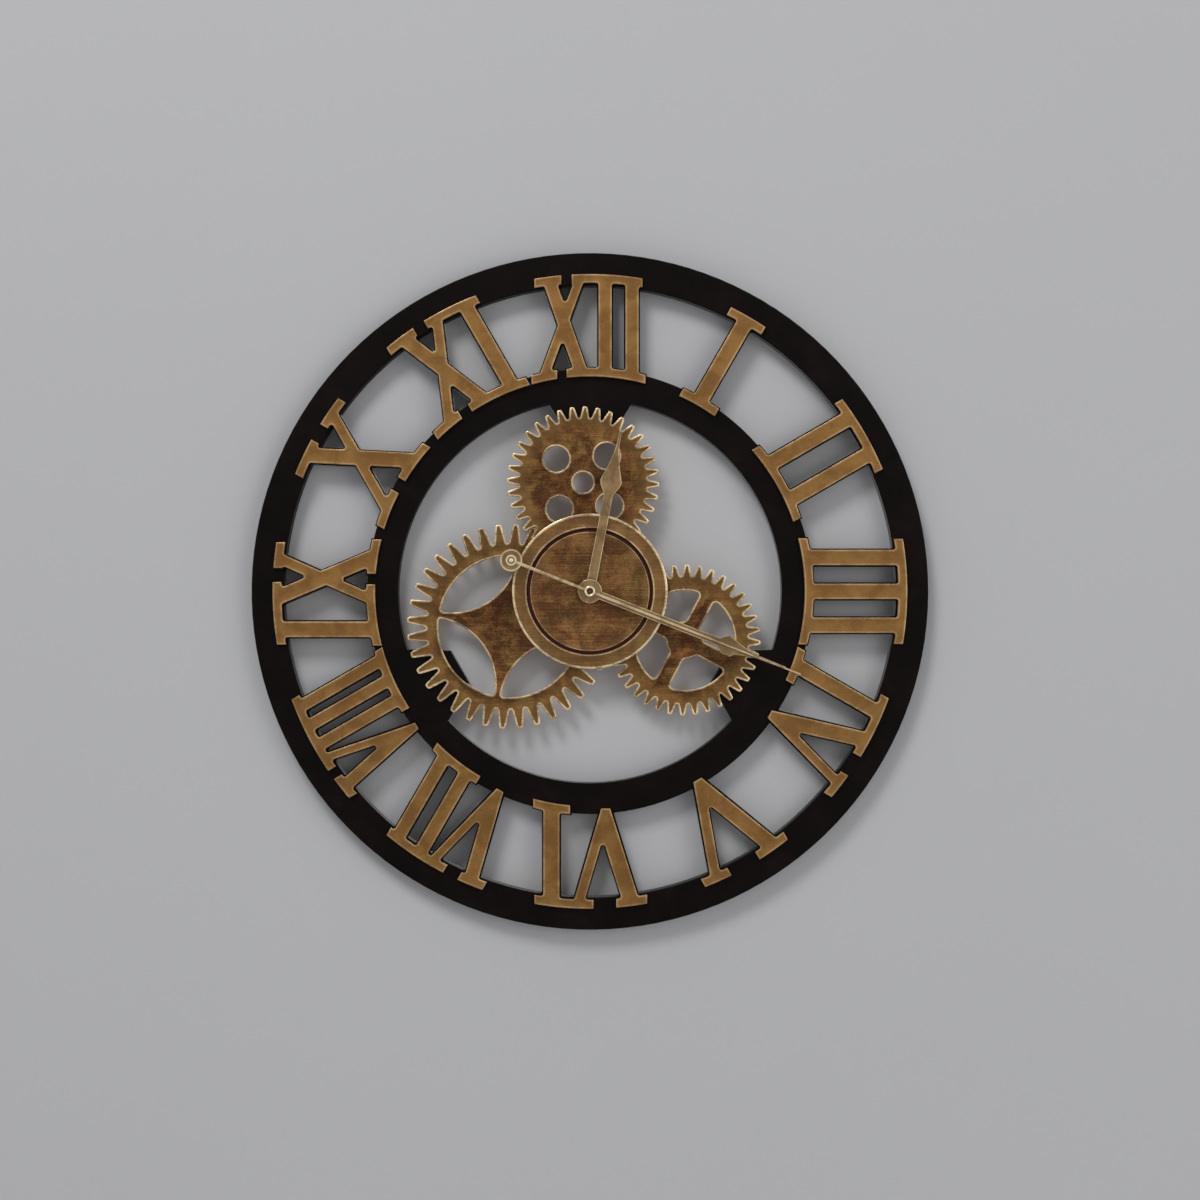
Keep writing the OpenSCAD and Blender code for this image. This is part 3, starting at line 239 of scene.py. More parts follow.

# One row for each material slot. Colours are linear; patches, streaks and grains are counts a metre. The edge
# colour is partly worn, lighter metal and partly painted highlight, and the colour for grooves and hollows is
# painted shade
plain = {"stain": 0.5, "streak": 0.25, "grain": 0.2, "patches": 60.0, "streaks": (90, 90, 90),
         "grains": 1400.0, "metallic": 0.0, "rough": (0.4, 0.6), "bump": 0.00002, "specular": 0.5,
         "edge": None, "edgeShare": 0.0, "rimShare": 0.0, "paintedShade": (0.060, 0.013, 0.008),
         "warm": (1.03, 1.0, 0.97), "cool": (0.97, 1.0, 1.02), "polar": False, "bands": False}
finishes = {
    "frame_black": dict(dark=(0.0022, 0.0008, 0.0006), mid=(0.0040, 0.0018, 0.0014),
                        light=(0.0080, 0.0042, 0.0034), rough=(0.46, 0.60), patches=38.0, grains=1500.0,
                        bump=0.00003, streak=0.25, streaks=(40, 40, 700), stain=0.3, specular=0.07),
    "numeral_gold": dict(dark=(0.200, 0.098, 0.028), mid=(0.250, 0.126, 0.036), light=(0.300, 0.158, 0.047),
                         edge=(0.52, 0.34, 0.175), edgeShare=0.85, metallic=0.7, rough=(0.38, 0.50),
                         patches=60.0, streaks=(260, 120, 1900), streak=0.35, stain=0.0, grain=0.7,
                         grains=1900.0, bump=0.00004, specular=0.3,
                         warm=(1.05, 0.99, 0.94), cool=(0.97, 1.0, 0.98)),
    "gear_bronze": dict(dark=(0.058, 0.024, 0.0095), mid=(0.132, 0.064, 0.021), light=(0.245, 0.138, 0.046),
                        edge=(0.84, 0.66, 0.40), edgeShare=0.9, rimShare=0.45, metallic=0.75,
                        rough=(0.36, 0.56), patches=74.0, streaks=(60, 60, 1100), streak=0.5, stain=0.32,
                        grain=0.7, grains=1300.0, bump=0.00004, specular=0.3,
                        warm=(1.18, 0.92, 0.90), cool=(0.92, 1.01, 0.84)),
    "disc_bronze": dict(dark=(0.092, 0.042, 0.018), mid=(0.178, 0.091, 0.032), light=(0.27, 0.158, 0.059),
                        edge=(0.84, 0.66, 0.41), edgeShare=0.9, rimShare=0.3, metallic=0.75,
                        rough=(0.34, 0.54), patches=58.0, streaks=(26, 26, 900), streak=0.6, stain=0.2,
                        grain=0.8, grains=1500.0, bump=0.00003, specular=0.3,
                        warm=(1.14, 0.94, 0.88), cool=(0.90, 1.02, 0.84)),
    # The hands' colour for grooves and hollows is painted shade in the eyelet's sunk middle and round the
    # weight's ring and pin
    "hand_bronze": dict(dark=(0.205, 0.123, 0.054), mid=(0.290, 0.182, 0.082), light=(0.370, 0.246, 0.117),
                        edge=(0.80, 0.62, 0.38), edgeShare=0.8, metallic=0.65, rough=(0.34, 0.48),
                        paintedShade=(0.038, 0.026, 0.010), patches=90.0, streaks=(500, 400, 500), streak=0.3,
                        stain=0.2, bump=0.00001, specular=0.3),
    "bright_brass": dict(dark=(0.42, 0.26, 0.085), mid=(0.62, 0.42, 0.165), light=(0.78, 0.58, 0.27),
                         metallic=1.0, rough=(0.2, 0.34), streaks=(1500, 3, 500), polar=True, stain=0.3,
                         bump=0.00001),
    "zinc_steel": dict(dark=(0.48, 0.48, 0.47), mid=(0.56, 0.56, 0.55), light=(0.62, 0.62, 0.62),
                       metallic=1.0, rough=(0.30, 0.42), patches=420.0, streaks=(120, 120, 2600), stain=0.2,
                       bump=0.00001),
    "nickel_steel": dict(dark=(0.44, 0.43, 0.42), mid=(0.62, 0.61, 0.60), light=(0.76, 0.75, 0.74),
                         metallic=1.0, rough=(0.18, 0.30), streaks=(1500, 1500, 60), bump=0.000006),
    "stator_iron": dict(dark=(0.20, 0.20, 0.21), mid=(0.34, 0.34, 0.35), light=(0.46, 0.46, 0.47),
                        metallic=1.0, rough=(0.34, 0.5), streaks=(120, 120, 2400), bump=0.00001),
    "can_metal": dict(dark=(0.55, 0.55, 0.56), mid=(0.70, 0.70, 0.71), light=(0.82, 0.82, 0.83),
                      metallic=1.0, rough=(0.2, 0.32), streaks=(3000, 100, 100), bump=0.000006),
    "magnet_dark": dict(dark=(0.040, 0.042, 0.048), mid=(0.085, 0.088, 0.096), light=(0.15, 0.155, 0.165),
                        metallic=0.6, rough=(0.45, 0.62), patches=400.0, grains=5000.0, bump=0.00001),
    "copper_wire": dict(dark=(0.28, 0.085, 0.028), mid=(0.46, 0.165, 0.060), light=(0.62, 0.27, 0.11),
                        metallic=0.8, rough=(0.22, 0.36), streaks=(9000, 1, 1), streak=0.8, bump=0.00004),
    "case_plastic": dict(dark=(0.010, 0.010, 0.011), mid=(0.017, 0.017, 0.018), light=(0.028, 0.028, 0.030),
                         rough=(0.46, 0.60), patches=90.0, grains=4200.0, grain=0.6, bump=0.00004),
    "spacer_plastic": dict(dark=(0.018, 0.012, 0.009), mid=(0.034, 0.024, 0.018), light=(0.055, 0.040, 0.030),
                           rough=(0.44, 0.58), grains=3600.0, bump=0.00003),
    "wheel_plastic": dict(dark=(0.62, 0.58, 0.48), mid=(0.74, 0.71, 0.62), light=(0.82, 0.80, 0.73),
                          rough=(0.32, 0.46), patches=240.0, grains=4200.0, bump=0.000008),
    "bobbin_plastic": dict(dark=(0.58, 0.52, 0.40), mid=(0.70, 0.65, 0.54), light=(0.78, 0.74, 0.64),
                           rough=(0.36, 0.5), patches=240.0, grains=4200.0, bump=0.000008),
    "knob_plastic": dict(dark=(0.50, 0.50, 0.50), mid=(0.62, 0.62, 0.62), light=(0.72, 0.72, 0.72),
                         rough=(0.34, 0.48), patches=160.0, grains=3600.0, bump=0.00001),
    "black_rubber": dict(dark=(0.008, 0.008, 0.008), mid=(0.014, 0.014, 0.014), light=(0.024, 0.024, 0.024),
                         rough=(0.62, 0.8), grains=3200.0, bump=0.00002),
    "board_green": dict(dark=(0.014, 0.075, 0.034), mid=(0.026, 0.125, 0.060), light=(0.05, 0.19, 0.10),
                        rough=(0.26, 0.40), patches=300.0, streaks=(1800, 1800, 40), streak=0.5,
                        bump=0.00001),
    "cell_label": dict(dark=(0.012, 0.046, 0.026), mid=(0.015, 0.056, 0.032), light=(0.020, 0.068, 0.040),
                       bands=True, rough=(0.24, 0.36), patches=120.0, streaks=(40, 900, 900), bump=0.000006),
}

# Band mask at which each bare metal of the cell starts and is full, and its darker and lighter colour
cellBands = {"copper": ((0.4, 0.6), (0.34, 0.135, 0.050), (0.48, 0.215, 0.085)),
             "steel": ((1.4, 1.6), (0.52, 0.52, 0.51), (0.64, 0.64, 0.63))}
cellMetallic = (0.2, 1.0)  # of the wrap and of the steel
brushOffset = (0.31, 0.17, 0.53)  # moves the streaks away from the mottling
grainRough = 0.4  # share of the grain in how uneven the gloss is
unevenSteps = (0.1, 1.3)  # where the gloss is at its smoothest and at its roughest


def polarVector(tree, place):
    # Radius, turn round the dial axis and depth, so that streaks run round a turned piece
    parts = makeNode(tree, "ShaderNodeSeparateXYZ", {0: place}).outputs
    radius = combine(tree, "SQRT", combine(tree, "ADD", combine(tree, "MULTIPLY", parts[0], parts[0]),
                                           combine(tree, "MULTIPLY", parts[2], parts[2])))
    angle = combine(tree, "ARCTAN2", parts[0], parts[2])
    return makeNode(tree, "ShaderNodeCombineXYZ", {0: radius, 1: angle, 2: parts[1]}).outputs[0]


def addBands(tree, colour, tone):
    # Zero is the printed wrap, one its copper band and two the bare steel of the ends
    band = makeNode(tree, "ShaderNodeAttribute", attribute_name="band").outputs["Fac"]
    for levels, darker, lighter in cellBands.values():
        colour = mixColour(tree, remap(tree, band, *levels), colour, mixColour(tree, tone, darker, lighter))
    return colour, remap(tree, band, cellBands["copper"][0][0], cellBands["steel"][0][1], *cellMetallic)


def makeFinish(name):
    look = {**plain, **finishes[name]}
    material = bpy.data.materials.new(name)
    material.use_nodes = True
    tree = material.node_tree
    tree.nodes.clear()

    def useGroup(group, inputs):
        return makeNode(tree, "ShaderNodeGroup", inputs, node_tree=groups[group]).outputs

    here = makeNode(tree, "ShaderNodeTexCoord").outputs["Object"]
    if look["polar"]:
        there = polarVector(tree, here)
    else:
        there = makeNode(tree, "ShaderNodeVectorMath", {0: here, 1: brushOffset}, operation="ADD").outputs[0]
    counts = {"Patches": look["patches"], "Streaks": look["streaks"], "Grains": look["grains"]}
    wear = useGroup("wear", {"Place": here, **counts})
    brushed = useGroup("wear", {"Place": there, **counts})
    patina = useGroup("patina", {"Mottle": wear["Mottle"], "Stain": wear["Stain"],
                                 "Streak": brushed["Streak"], "Grain": wear["Grain"],
                                 "Tint": brushed["Mottle"], "Stain Share": look["stain"],
                                 "Streak Share": look["streak"], "Grain Share": look["grain"],
                                 "Dark": look["dark"], "Mid": look["mid"], "Light": look["light"],
                                 "Warm": look["warm"], "Cool": look["cool"]})
    colour, tone = patina["Colour"], patina["Tone"]
    uneven = combine(tree, "ADD", wear["Mottle"], combine(tree, "MULTIPLY", wear["Grain"], grainRough))
    rough = remap(tree, uneven, *unevenSteps, *look["rough"])
    metallic = look["metallic"]
    tipShare = 1.0
    # Towards the rim the colour turns lighter, and the tooth tips get a stronger edge mask, a painted
    # highlight
    if look["rimShare"]:
        core = makeNode(tree, "ShaderNodeAttribute", attribute_name="core").outputs["Vector"]
        reach = makeNode(tree, "ShaderNodeVectorMath", {0: core}, operation="LENGTH").outputs["Value"]
        rubbed = useGroup("rimRubTipHighlight", {"Colour": colour, "Light": look["light"], "Reach": reach,
                                     "Rim Share": look["rimShare"]})
        colour, tipShare = rubbed["Colour"], rubbed["Tip Share"]
    # The lip mask lightens edges for wear and painted highlight, paints near-white highlights, and paints
    # shade dark into grooves and hollows
    if look["edge"]:
        lip = makeNode(tree, "ShaderNodeAttribute", attribute_name="lip").outputs["Fac"]
        edged = useGroup("edgeWearAndHighlight", {"Colour": colour, "Edge": look["edge"],
                                      "Painted Highlight": edgeWearAndHighlight["highlightColour"], "Painted Shade": look["paintedShade"],
                                      "Rough": rough, "Lip": lip, "Tone": tone,
                                      "Edge Share": look["edgeShare"], "Tip Share": tipShare})
        colour, rough = edged["Colour"], edged["Rough"]
    if look["bands"]:
        colour, metallic = addBands(tree, colour, tone)
    bump = makeNode(tree, "ShaderNodeBump", {"Height": patina["Height"], "Distance": look["bump"],
                                             "Strength": 1.0})
    shader = makeNode(tree, "ShaderNodeBsdfPrincipled", {"Base Color": colour, "Roughness": rough,
                                                         "Metallic": metallic,
                                                         "Specular IOR Level": look["specular"],
                                                         "Normal": bump.outputs[0]})
    makeNode(tree, "ShaderNodeOutputMaterial", {"Surface": shader.outputs[0]})
    return material


materials = {name: makeFinish(name) for name in finishes}
for name, part in nodes.items():
    part.data.materials.clear()
    part.data.materials.append(materials[slotOf[name]])
print("materials made")


def cadArrays(name):
    # A CAD mesh is loose triangles: its points are merged on a grid of a micrometre
    data = nodes[name].data
    points = np.empty(len(data.vertices) * 3)
    data.vertices.foreach_get("co", points)
    corners = np.empty(len(data.loops), np.int64)
    data.loops.foreach_get("vertex_index", corners)
    points = points.reshape(-1, 3)
    grid = np.round(points / micron).astype(np.int64)
    _, first, merged = np.unique(grid, axis=0, return_index=True, return_inverse=True)
    triangles = merged.reshape(-1)[corners].reshape(-1, 3)
    solid = (triangles != np.roll(triangles, 1, axis=1)).all(axis=1)
    return points[first], triangles[solid]


def placeObject(name, mesh, stands):
    # The piece rides on its node's body, stands in for the node and carries its material
    mesh.materials.append(materials[slotOf[stands]])
    piece = bpy.data.objects.new(name, mesh)
    scene.collection.objects.link(piece)
    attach(piece, bodyOf[stands])
    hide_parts(stands)
    return piece


# Middle of each toothed or turned plate in the dial's plane, and its outer radius, in millimetres
roundPlates = {"left_gear": (-53.6, -23.4, 68.0), "right_gear": (62.9, -32.5, 50.3),
               "top_gear": (-4.5, 72.1, 50.5), "centre_disc": (0, 0, 51.6)}
sharpDegrees = 32


def addPiece(name, points, faces, stands, **masks):
    mesh = bpy.data.meshes.new(name)
    mesh.from_pydata(points.tolist(), [], faces)
    for mask, values in masks.items():
        mesh.attributes.new(mask, "FLOAT", "POINT").data.foreach_set("value", values.astype(np.float32))
    if stands in roundPlates:
        # Core is the way from the plate's middle, as a share of its outer radius
        x, z, radius = roundPlates[stands]
        core = (points - np.array([x, 0, z]) * mm) * [1, 0, 1] / (radius * mm)
        cores = mesh.attributes.new("core", "FLOAT_VECTOR", "POINT")
        cores.data.foreach_set("vector", core.astype(np.float32).ravel())
    mesh.validate()
    mesh.shade_smooth()
    mesh.set_sharp_from_angle(angle=math.radians(sharpDegrees))
    placeObject(name, mesh, stands)


def insidePolygon(places, starts, ends):
    # Even and odd crossings of a ray along x with the outline's edges
    x, z = places[:, :1], places[:, 1:]
    crosses = (starts[:, 1] > z) != (ends[:, 1] > z)
    rise = np.where(ends[:, 1] == starts[:, 1], 1, ends[:, 1] - starts[:, 1])
    at = starts[:, 0] + (z - starts[:, 1]) / rise * (ends[:, 0] - starts[:, 0])
    return (crosses & (x < at)).sum(axis=1) % 2 == 1


# Cross products under the first are of parallel lines, crossings nearer than the second are with a point's
# own edges, and the third lets a way meet an edge just past its end
parallel, ownEdge, edgeEnd = 1e-15, 1e-5, 1e-6


def roomInside(places, ways, starts, ends):
    # How many times each way fits between its place and the outline's next edge along it
    edge = ends - starts
    apart = starts[None] - places[:, None]
    cross = ways[:, None, 0] * edge[None, :, 1] - ways[:, None, 1] * edge[None, :, 0]
    cross = np.where(np.abs(cross) < parallel, np.inf, cross)
    far = (apart[..., 0] * edge[None, :, 1] - apart[..., 1] * edge[None, :, 0]) / cross
    along = (apart[..., 0] * ways[:, None, 1] - apart[..., 1] * ways[:, None, 0]) / cross
    hit = (far > ownEdge) & (along > -edgeEnd) & (along < 1 + edgeEnd)
    return np.where(hit, far, np.inf).min(axis=1)


# Rounded lip, and the slightly lower face inside it, in millimetres: how far in, how far down, and the edge
# mask, which paints the edges lighter for wear and highlight
plateEdges = {
    "numeral": ((0, 0.30, 0.6), (0.09, 0.09, 1), (0.30, 0, 1), (0.70, 0.01, 0.75), (1.50, 0.14, 0.1)),
    "gear": ((0, 0.36, 0.7), (0.10, 0.11, 1), (0.36, 0, 1), (0.95, 0, 1), (1.45, 0.26, 0)),
    "hand": ((0, 0.16, 0.5), (0.05, 0.05, 1), (0.16, 0, 1), (0.34, 0, 0.8), (0.60, 0.06, 0)),
}
plates = {"numeral": [f"numeral_{hour}" for hour in range(1, 13)],
          "gear": ["left_gear", "right_gear", "top_gear"],
          "hand": ["hour_hand", "minute_hand"]}
roomShare = 0.42  # a lip takes at most this share of the plate's width
sharpestMitre = 0.25


def frontOutline(cap, count):
    # Edges of the front face that no other triangle shares, and the point before and after each point
    pairs = np.concatenate([cap[:, (0, 1)], cap[:, (1, 2)], cap[:, (2, 0)]])
    edges = pairs[~np.isin(pairs[:, 0] * count + pairs[:, 1], pairs[:, 1] * count + pairs[:, 0])]
    following, leading = np.full(count, -1), np.full(count, -1)
    following[edges[:, 0]] = edges[:, 1]
    leading[edges[:, 1]] = edges[:, 0]
    return edges, leading, following


def inwardMitres(flat, edges, leading, following, deepest):
    # The sum of both edges' inward normals over one plus their product, cut short where the plate is narrow
    def inward(starts, ends):
        along = flat[ends] - flat[starts]
        along /= np.linalg.norm(along, axis=1, keepdims=True)
        return np.stack([-along[:, 1], along[:, 0]], axis=1)

    outline = edges[:, 0]
    before = inward(leading[outline], outline)
    after = inward(outline, following[outline])
    mitre = (before + after) / np.maximum(1 + (before * after).sum(axis=1, keepdims=True), sharpestMitre)
    room = roomInside(flat[outline], mitre, flat[edges[:, 0]], flat[edges[:, 1]])
    return mitre * np.minimum(1, roomShare * room / deepest)[:, None]


def filledFace(inner, chain):
    # Triangles over the inner outline but not over its holes: their points, corners and each point's source
    # Output type 0 fills the whole convex hull, so the triangles in holes and notches are dropped after
    found, _, filled, origin, _, _ = delaunay_2d_cdt([Vector(p) for p in inner], chain.tolist(), [], 0,
                                                     0.1 * micron)
    filled = np.array(filled)
    found = np.array([tuple(p) for p in found])
    kept = filled[insidePolygon(found[filled].mean(axis=1), inner[chain[:, 0]], inner[chain[:, 1]])]
    return found, kept, np.array([members[0] if members else -1 for members in origin])


def edgedPlate(name, kind):
    # The front outline steps inwards along its mitres and down along y; sides and back stay the CAD's
    points, triangles = cadArrays(name)
    front = points[:, 1].min()
    onFront = points[:, 1] < front + micron
    isCap = onFront[triangles].all(axis=1)
    edges, leading, following = frontOutline(triangles[isCap], len(points))
    outline = edges[:, 0]
    flat = points[:, (0, 2)]
    steps = plateEdges[kind]
    count = len(outline)
    mitre = inwardMitres(flat, edges, leading, following, steps[-1][0] * mm)
    order = np.full(len(points), -1)
    order[outline] = np.arange(count)
    chain = order[edges]
    rings = []
    for inset, drop, _ in steps:
        at = flat[outline] + mitre * inset * mm
        rings.append(np.stack([at[:, 0], np.full(count, front + drop * mm), at[:, 1]], axis=1))
    base = len(points)
    points[onFront, 1] = front + steps[0][1] * mm
    points[outline] = rings[0]
    points = np.concatenate([points] + rings[1:])
    index = [outline] + [base + k * count + np.arange(count) for k in range(len(steps) - 1)]
    faces = triangles[~isCap].tolist()
    for low, high in zip(index, index[1:]):
        faces += np.concatenate([low[chain], high[chain[:, ::-1]]], axis=1).tolist()
    found, kept, source = filledFace(rings[-1][:, (0, 2)], chain)
    known = np.where(source < 0, 0, index[-1][source])
    extra = np.flatnonzero(source < 0)
    known[extra] = len(points) + np.arange(len(extra))
    depth = np.full(len(extra), front + steps[-1][1] * mm)
    points = np.concatenate([points, np.stack([found[extra, 0], depth, found[extra, 1]], axis=1)])
    faces += known[kept].tolist()
    lip = np.zeros(len(points))
    for ring, (_, _, mask) in zip(index, steps):
        lip[ring] = mask
    addPiece(name + "_plate", points, faces, name, lip=lip)


for kind, names in plates.items():
    for name in names:
        edgedPlate(name, kind)
print("plates made")


def gridFaces(rows, columns):
    # Quads between neighbouring rows of a grid of points whose columns close round
    row, column = np.meshgrid(np.arange(rows - 1), np.arange(columns), indexing="ij")
    after = (column + 1) % columns
    return np.stack([row * columns + column, row * columns + after, (row + 1) * columns + after,
                     (row + 1) * columns + column], axis=-1).reshape(-1, 4)


def turned(profile, sides, middle=(0.0, 0.0)):
    # A profile of radius and height turned round the y axis at middle: x = r sin a, z = r cos a, y = -h
    profile = np.array(profile)
    angles = np.arange(sides) * 2 * math.pi / sides
    radius, height = profile[:, :1] * mm, profile[:, 1:2] * mm
    points = np.stack([middle[0] + radius * np.sin(angles), -height + 0 * angles,
                       middle[1] + radius * np.cos(angles)], axis=-1).reshape(-1, 3)
    return points, gridFaces(len(profile), sides)


# The turned disc in millimetres: its bore, its raised rim and the groove inside the rim
disc = {"boreRadius": 4.2, "rimWidth": 9.4, "rimHeight": 1.2, "grooveWidth": 2.4, "grooveDepth": 1.4,
        "sides": 256}


def discRows():
    # Radius, height and lip mask: from the bore over the face, the groove and the rim, and back underneath.
    # The mask paints highlights along the groove's and rim's edges and paints shade into the groove
    near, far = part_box("centre_disc")
    low, high, edge = -far[1] / mm, -near[1] / mm, far[0] / mm
    face = high - disc["rimHeight"]
    deep = face - disc["grooveDepth"]
    bore = disc["boreRadius"]
    rim = edge - disc["rimWidth"]
    groove = rim - disc["grooveWidth"]
    return [(bore, low, 0), (bore, face - 0.2, 0), (bore + 0.2, face, 0), (groove - 1.1, face, 0),
            (groove - 0.75, face + 0.06, 0.6), (groove - 0.42, face + 0.05, 0.6),
            (groove - 0.2, face - 0.1, 0), (groove, face - 0.4, -1), (groove + 0.1, deep, -1),
            (rim - 1.05, deep, -1), (rim - 0.85, deep + 0.7, -1), (rim - 0.6, deep + 1.2, 0.1),
            (rim - 0.3, high - 0.25, 0.6), (rim, high, 1), (rim + 0.4, high, 1),
            (rim + 0.85, high - 0.14, 0), (edge - 1.9, high - 0.14, 0), (edge - 1.5, high - 0.05, 0.8),
            (edge - 0.62, high - 0.02, 1), (edge - 0.28, high - 0.16, 1), (edge - 0.06, high - 0.5, 0.6),
            (edge, high - 0.9, 0), (edge, low + 0.3, 0), (edge - 0.3, low, 0), (bore, low, 0)]


def maskOf(rows, sides):
    return np.repeat([row[2] for row in rows], sides).astype(float)


def makeDisc():
    rows = discRows()
    points, faces = turned(rows, disc["sides"])
    addPiece("turned_disc", points, faces.tolist(), "centre_disc", lip=maskOf(rows, disc["sides"]))


makeDisc()
print("disc made")

# The second hand in millimetres
# A row of its section is a share of half its width, a share of its height, and the lip mask, which paints
# highlights along the strip's ridge
secondHand = {"width": 2.2, "tipShare": 0.5, "tailDistance": 55.6, "tipReach": 140.0, "eyeletRadius": 3.7,
              "weightRadius": 7.4, "ringRadius": 3.4, "stations": 60, "sides": 96,
              "section": ((-1, 0, 0), (-1, 0.55, 0.6), (-0.7, 0.92, 1), (0, 1, 0.8),
                          (0.7, 0.92, 1), (1, 0.55, 0.6), (1, 0, 0))}


def bowedStrip(start, end, along, back, top):
    # Places from start to end times the section across them; half the width falls evenly to the tip's share
    across = np.array([along[1], -along[0]])
    stations = np.linspace(start, end, secondHand["stations"])
    share = (stations - start) / (end - start)
    half = secondHand["width"] * mm / 2 * (1 - (1 - secondHand["tipShare"]) * share)
    section = np.array(secondHand["section"])
    flat = stations[:, None, None] * along + (half[:, None] * section[:, 0])[..., None] * across
    height = (back + (top - back) * section[:, 1]) * mm + 0 * half[:, None]
    points = np.stack([flat[..., 0], -height, flat[..., 1]], axis=-1).reshape(-1, 3)
    count = len(section)
    faces = gridFaces(len(stations), count)[:, (0, 3, 2, 1)].tolist()
    faces += [list(range(count)), list(range(len(points) - count, len(points)))[::-1]]
    return points, faces, np.tile(section[:, 2], len(stations))


def eyeletRows(back, strip, top):
    # Radius, height and lip mask of the eyelet on the axis: a tube, a rolled ring and the sunk middle; the
    # mask paints a near-white highlight on the ring and dark shade in the sunk middle
    eye = secondHand["eyeletRadius"]
    return [(0.52, back, 0), (eye - 0.3, back, 0), (eye, back + 0.3, 0.4), (eye, strip, 0.8),
            (eye - 0.12, strip + 0.32, 1), (eye - 0.45, top - 0.08, 2), (eye - 0.85, top, 2),
            (eye - 1.25, top - 0.1, 1.6), (eye - 1.55, strip + 0.4, 0.6), (eye - 1.75, strip + 0.28, -1),
            (0.5, strip + 0.26, -0.8), (0, strip + 0.32, -0.3)]


def weightRows(back, top):
    # Radius, height and lip mask of the weight on the tail: a flat rim, a raised ring and a pin in the
    # middle; the mask paints highlights on the rim, ring and pin and dark shade in the hollows between them
    wide, ring = secondHand["weightRadius"], secondHand["ringRadius"]
    return [(0, back, 0), (wide - 0.1, back, 0), (wide, back + 0.12, 0.4), (wide, top - 0.2, 0.7),
            (wide - 0.2, top, 1), (wide - 0.9, top, 1), (wide - 1.3, top - 0.16, -0.25),
            (ring + 0.55, top - 0.16, -0.35), (ring, top + 0.3, 1.2), (ring - 0.3, top + 0.55, 2),
            (ring - 0.8, top + 0.5, 1.8), (ring - 1.2, top + 0.05, -0.3), (1.75, top, -0.4),
            (1.45, top + 0.4, 1.6), (0.8, top + 0.58, 2), (0, top + 0.62, 2)]


def makeSecondHand():
    # The strip keeps the depth that the CAD hand has near its tip, and the eyelet fills the depth of its hub
    near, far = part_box("second_hand")
    points, _ = cadArrays("second_hand")
    flat = points[:, (0, 2)]
    distance = np.linalg.norm(flat, axis=1)
    along = flat[np.argmax(distance)] / distance.max()
    depth = points[distance > secondHand["tipReach"] * mm, 1]
    back, top = -depth.max() / mm, -depth.min() / mm
    tail = -secondHand["tailDistance"] * mm
    points, faces, lips = bowedStrip(tail, (flat @ along).max(), along, back, top)
    fittings = ((eyeletRows(-far[1] / mm, top, -near[1] / mm), (0, 0)), (weightRows(back, top), tail * along))
    for rows, middle in fittings:
        more, turns = turned(rows, secondHand["sides"], middle)
        faces += (turns + len(points)).tolist()
        points = np.concatenate([points, more])
        lips = np.concatenate([lips, maskOf(rows, secondHand["sides"])])
    addPiece("second_pointer", points, faces, "second_hand", lip=lips)


makeSecondHand()
print("second hand made")

# The cell in millimetres, but the start of its copper band is a share of the body's length
cell = {"nubRadius": 2.7, "nubLength": 1.2, "bandStart": 0.64, "wrapFold": 0.35, "sides": 96}


def makeCell():
    # A profile of radius, distance from the flat end and band mask, turned round the cell's own axis along x
    near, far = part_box("battery")
    radius, length = (far[2] - near[2]) / 2 / mm, (far[0] - near[0]) / mm
    body, nub, fold = length - cell["nubLength"], cell["nubRadius"], cell["wrapFold"]
    band = cell["bandStart"] * body
    rows = [(0, 0.15, 2), (radius - 2.6, 0.15, 2), (radius - 2.2, 0, 2), (radius - 0.9, 0, 2),
            (radius - 0.6, 0.05, 2), (radius - fold, 0.2, 0), (radius - 0.1, 0.45, 0), (radius, 0.8, 0),
            (radius, band - 0.01, 0), (radius, band, 1), (radius, body - 0.8, 1),
            (radius - 0.1, body - 0.45, 1), (radius - fold, body - 0.2, 1),
            (radius - 0.6, body - 0.06, 2), (radius - 1.0, body, 2), (nub + 1.0, body, 2),
            (nub + 0.7, body - 0.25, 2), (nub + 0.1, body - 0.25, 2), (nub, body, 2),
            (nub, length - 0.3, 2), (nub - 0.3, length, 2), (0, length, 2)]
    points, faces = turned(rows, cell["sides"])
    start = np.array([near[0], (near[1] + far[1]) / 2, (near[2] + far[2]) / 2])
    points = np.stack([-points[:, 1], points[:, 0], points[:, 2]], axis=1) + start
    addPiece("wrapped_cell", points, faces.tolist(), "battery", band=maskOf(rows, cell["sides"]))


makeCell()
print("cell made")

# Radius of each softened piece's rounding, in millimetres, and the angles of a flat and of a sharp edge
soft = {"inner_ring": 0.5, "movement_case": 0.25, "movement_cover": 0.15, "hex_nut": 0.2,
        "hanger_plate": 0.12, "circuit_board": 0.06}
softening = {"flatDegrees": 0.6, "sharpDegrees": 38, "segments": 2}


def softened(name, radius):
    # A merged copy of a CAD node, its flat faces joined and its sharp edges rounded
    points, triangles = cadArrays(name)
    mesh = bpy.data.meshes.new(name + "_soft")
    mesh.from_pydata(points.tolist(), [], triangles.tolist())
    shape = bmesh.new()
    shape.from_mesh(mesh)
    bmesh.ops.dissolve_limit(shape, angle_limit=math.radians(softening["flatDegrees"]), verts=shape.verts[:],
                             edges=shape.edges[:])
    shape.to_mesh(mesh)
    shape.free()
    bevel = placeObject(name + "_soft", mesh, name).modifiers.new("softEdges", "BEVEL")
    bevel.width = radius * mm
    bevel.segments = softening["segments"]
    bevel.limit_method = "ANGLE"
    bevel.angle_limit = math.radians(softening["sharpDegrees"])
    bevel.use_clamp_overlap = True
    bevel.harden_normals = True


for name, radius in soft.items():
    softened(name, radius)
print("fittings softened")


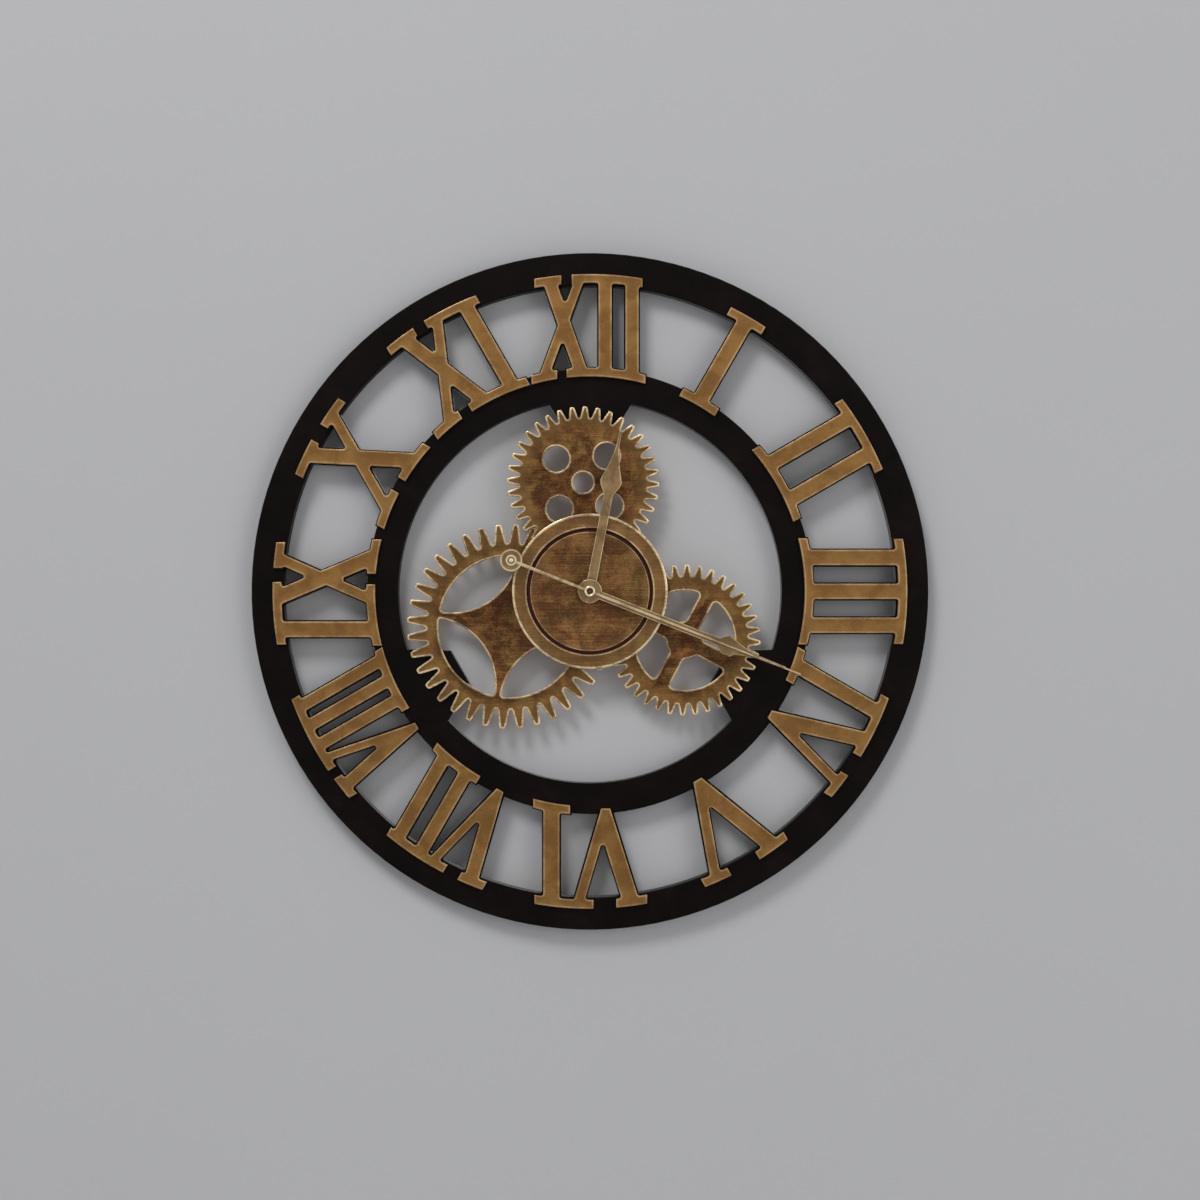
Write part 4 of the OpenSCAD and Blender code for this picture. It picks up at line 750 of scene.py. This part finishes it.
def makeCamera():
    data = bpy.data.cameras.new("camera")
    data.sensor_width = picture["sensorWidth"]
    data.lens = data.sensor_width * picture["cameraDistance"] / picture["viewWidth"]
    data.clip_start = picture["clipStart"]
    data.clip_end = picture["clipEnd"]
    camera = bpy.data.objects.new("camera", data)
    camera.location = (picture["centreX"], -picture["cameraDistance"], picture["centreZ"])
    camera.rotation_euler = (math.radians(90), 0, 0)
    scene.collection.objects.link(camera)
    scene.camera = camera


def addLamp(name, lamp):
    data = bpy.data.lights.new(name, "AREA")
    data.shape = "DISK"
    data.size = lamp["size"]
    data.energy = lamp["power"]
    light = bpy.data.objects.new(name, data)
    light.location = lamp["place"]
    light.rotation_euler = (-Vector(lamp["place"])).to_track_quat("-Z", "Y").to_euler()
    scene.collection.objects.link(light)


def addSheet(name, corners, colour, oneSided):
    # A plain painted plane. A one-sided sheet is clear from behind, so that the back lamps light the clock
    material = bpy.data.materials.new(name + "Paint")
    material.use_nodes = True
    tree = material.node_tree
    tree.nodes.clear()
    place = makeNode(tree, "ShaderNodeTexCoord").outputs["Object"]
    cloud = remap(tree, makeNoise(tree, place, *picture["paintClouds"]), *picture["paintSteps"])
    shade = mixColour(tree, cloud, tuple(picture["paintShade"] * c for c in colour), colour)
    paint = makeNode(tree, "ShaderNodeBsdfPrincipled", {"Base Color": shade,
                                                        "Roughness": picture["paintRoughness"]}).outputs[0]
    if oneSided:
        back = makeNode(tree, "ShaderNodeNewGeometry").outputs["Backfacing"]
        shadow = makeNode(tree, "ShaderNodeLightPath").outputs["Is Shadow Ray"]
        clear = makeNode(tree, "ShaderNodeBsdfTransparent").outputs[0]
        passes = combine(tree, "MAXIMUM", back, shadow)
        paint = makeNode(tree, "ShaderNodeMixShader", {0: passes, 1: paint, 2: clear}).outputs[0]
    makeNode(tree, "ShaderNodeOutputMaterial", {"Surface": paint})
    mesh = bpy.data.meshes.new(name)
    mesh.from_pydata(corners, [], [(0, 1, 2, 3)])
    mesh.materials.append(material)
    sheet = bpy.data.objects.new(name, mesh)
    scene.collection.objects.link(sheet)


def makeStage():
    half, wall, low = picture["halfRoom"], picture["wallDepth"], picture["floorHeight"]
    addSheet("wall", [(-half, wall, low), (half, wall, low), (half, wall, half), (-half, wall, half)],
             picture["wallColour"], True)
    addSheet("floor", [(-half, -half, low), (half, -half, low), (half, half, low), (-half, half, low)],
             picture["floorColour"], False)


def makeWorld():
    # The sky lights the room gently, and looks pale where the camera or a reflection meets it
    world = bpy.data.worlds.new("studio")
    scene.world = world
    world.use_nodes = True
    tree = world.node_tree
    tree.nodes.clear()
    path = makeNode(tree, "ShaderNodeLightPath").outputs
    seen = combine(tree, "MAXIMUM", path["Is Camera Ray"],
                   combine(tree, "MAXIMUM", path["Is Glossy Ray"], path["Is Transmission Ray"]))
    sky, pale = (makeNode(tree, "ShaderNodeBackground", {"Color": picture["skyColour"],
                                                         "Strength": picture[strength]}).outputs[0]
                 for strength in ("skyStrength", "backgroundStrength"))
    mix = makeNode(tree, "ShaderNodeMixShader", {0: seen, 1: sky, 2: pale})
    makeNode(tree, "ShaderNodeOutputWorld", {"Surface": mix.outputs[0]})


makeCamera()
makeStage()
makeWorld()
for name, lamp in lamps.items():
    addLamp(name, lamp)
scene.view_settings.view_transform = "Standard"
print("stage made")
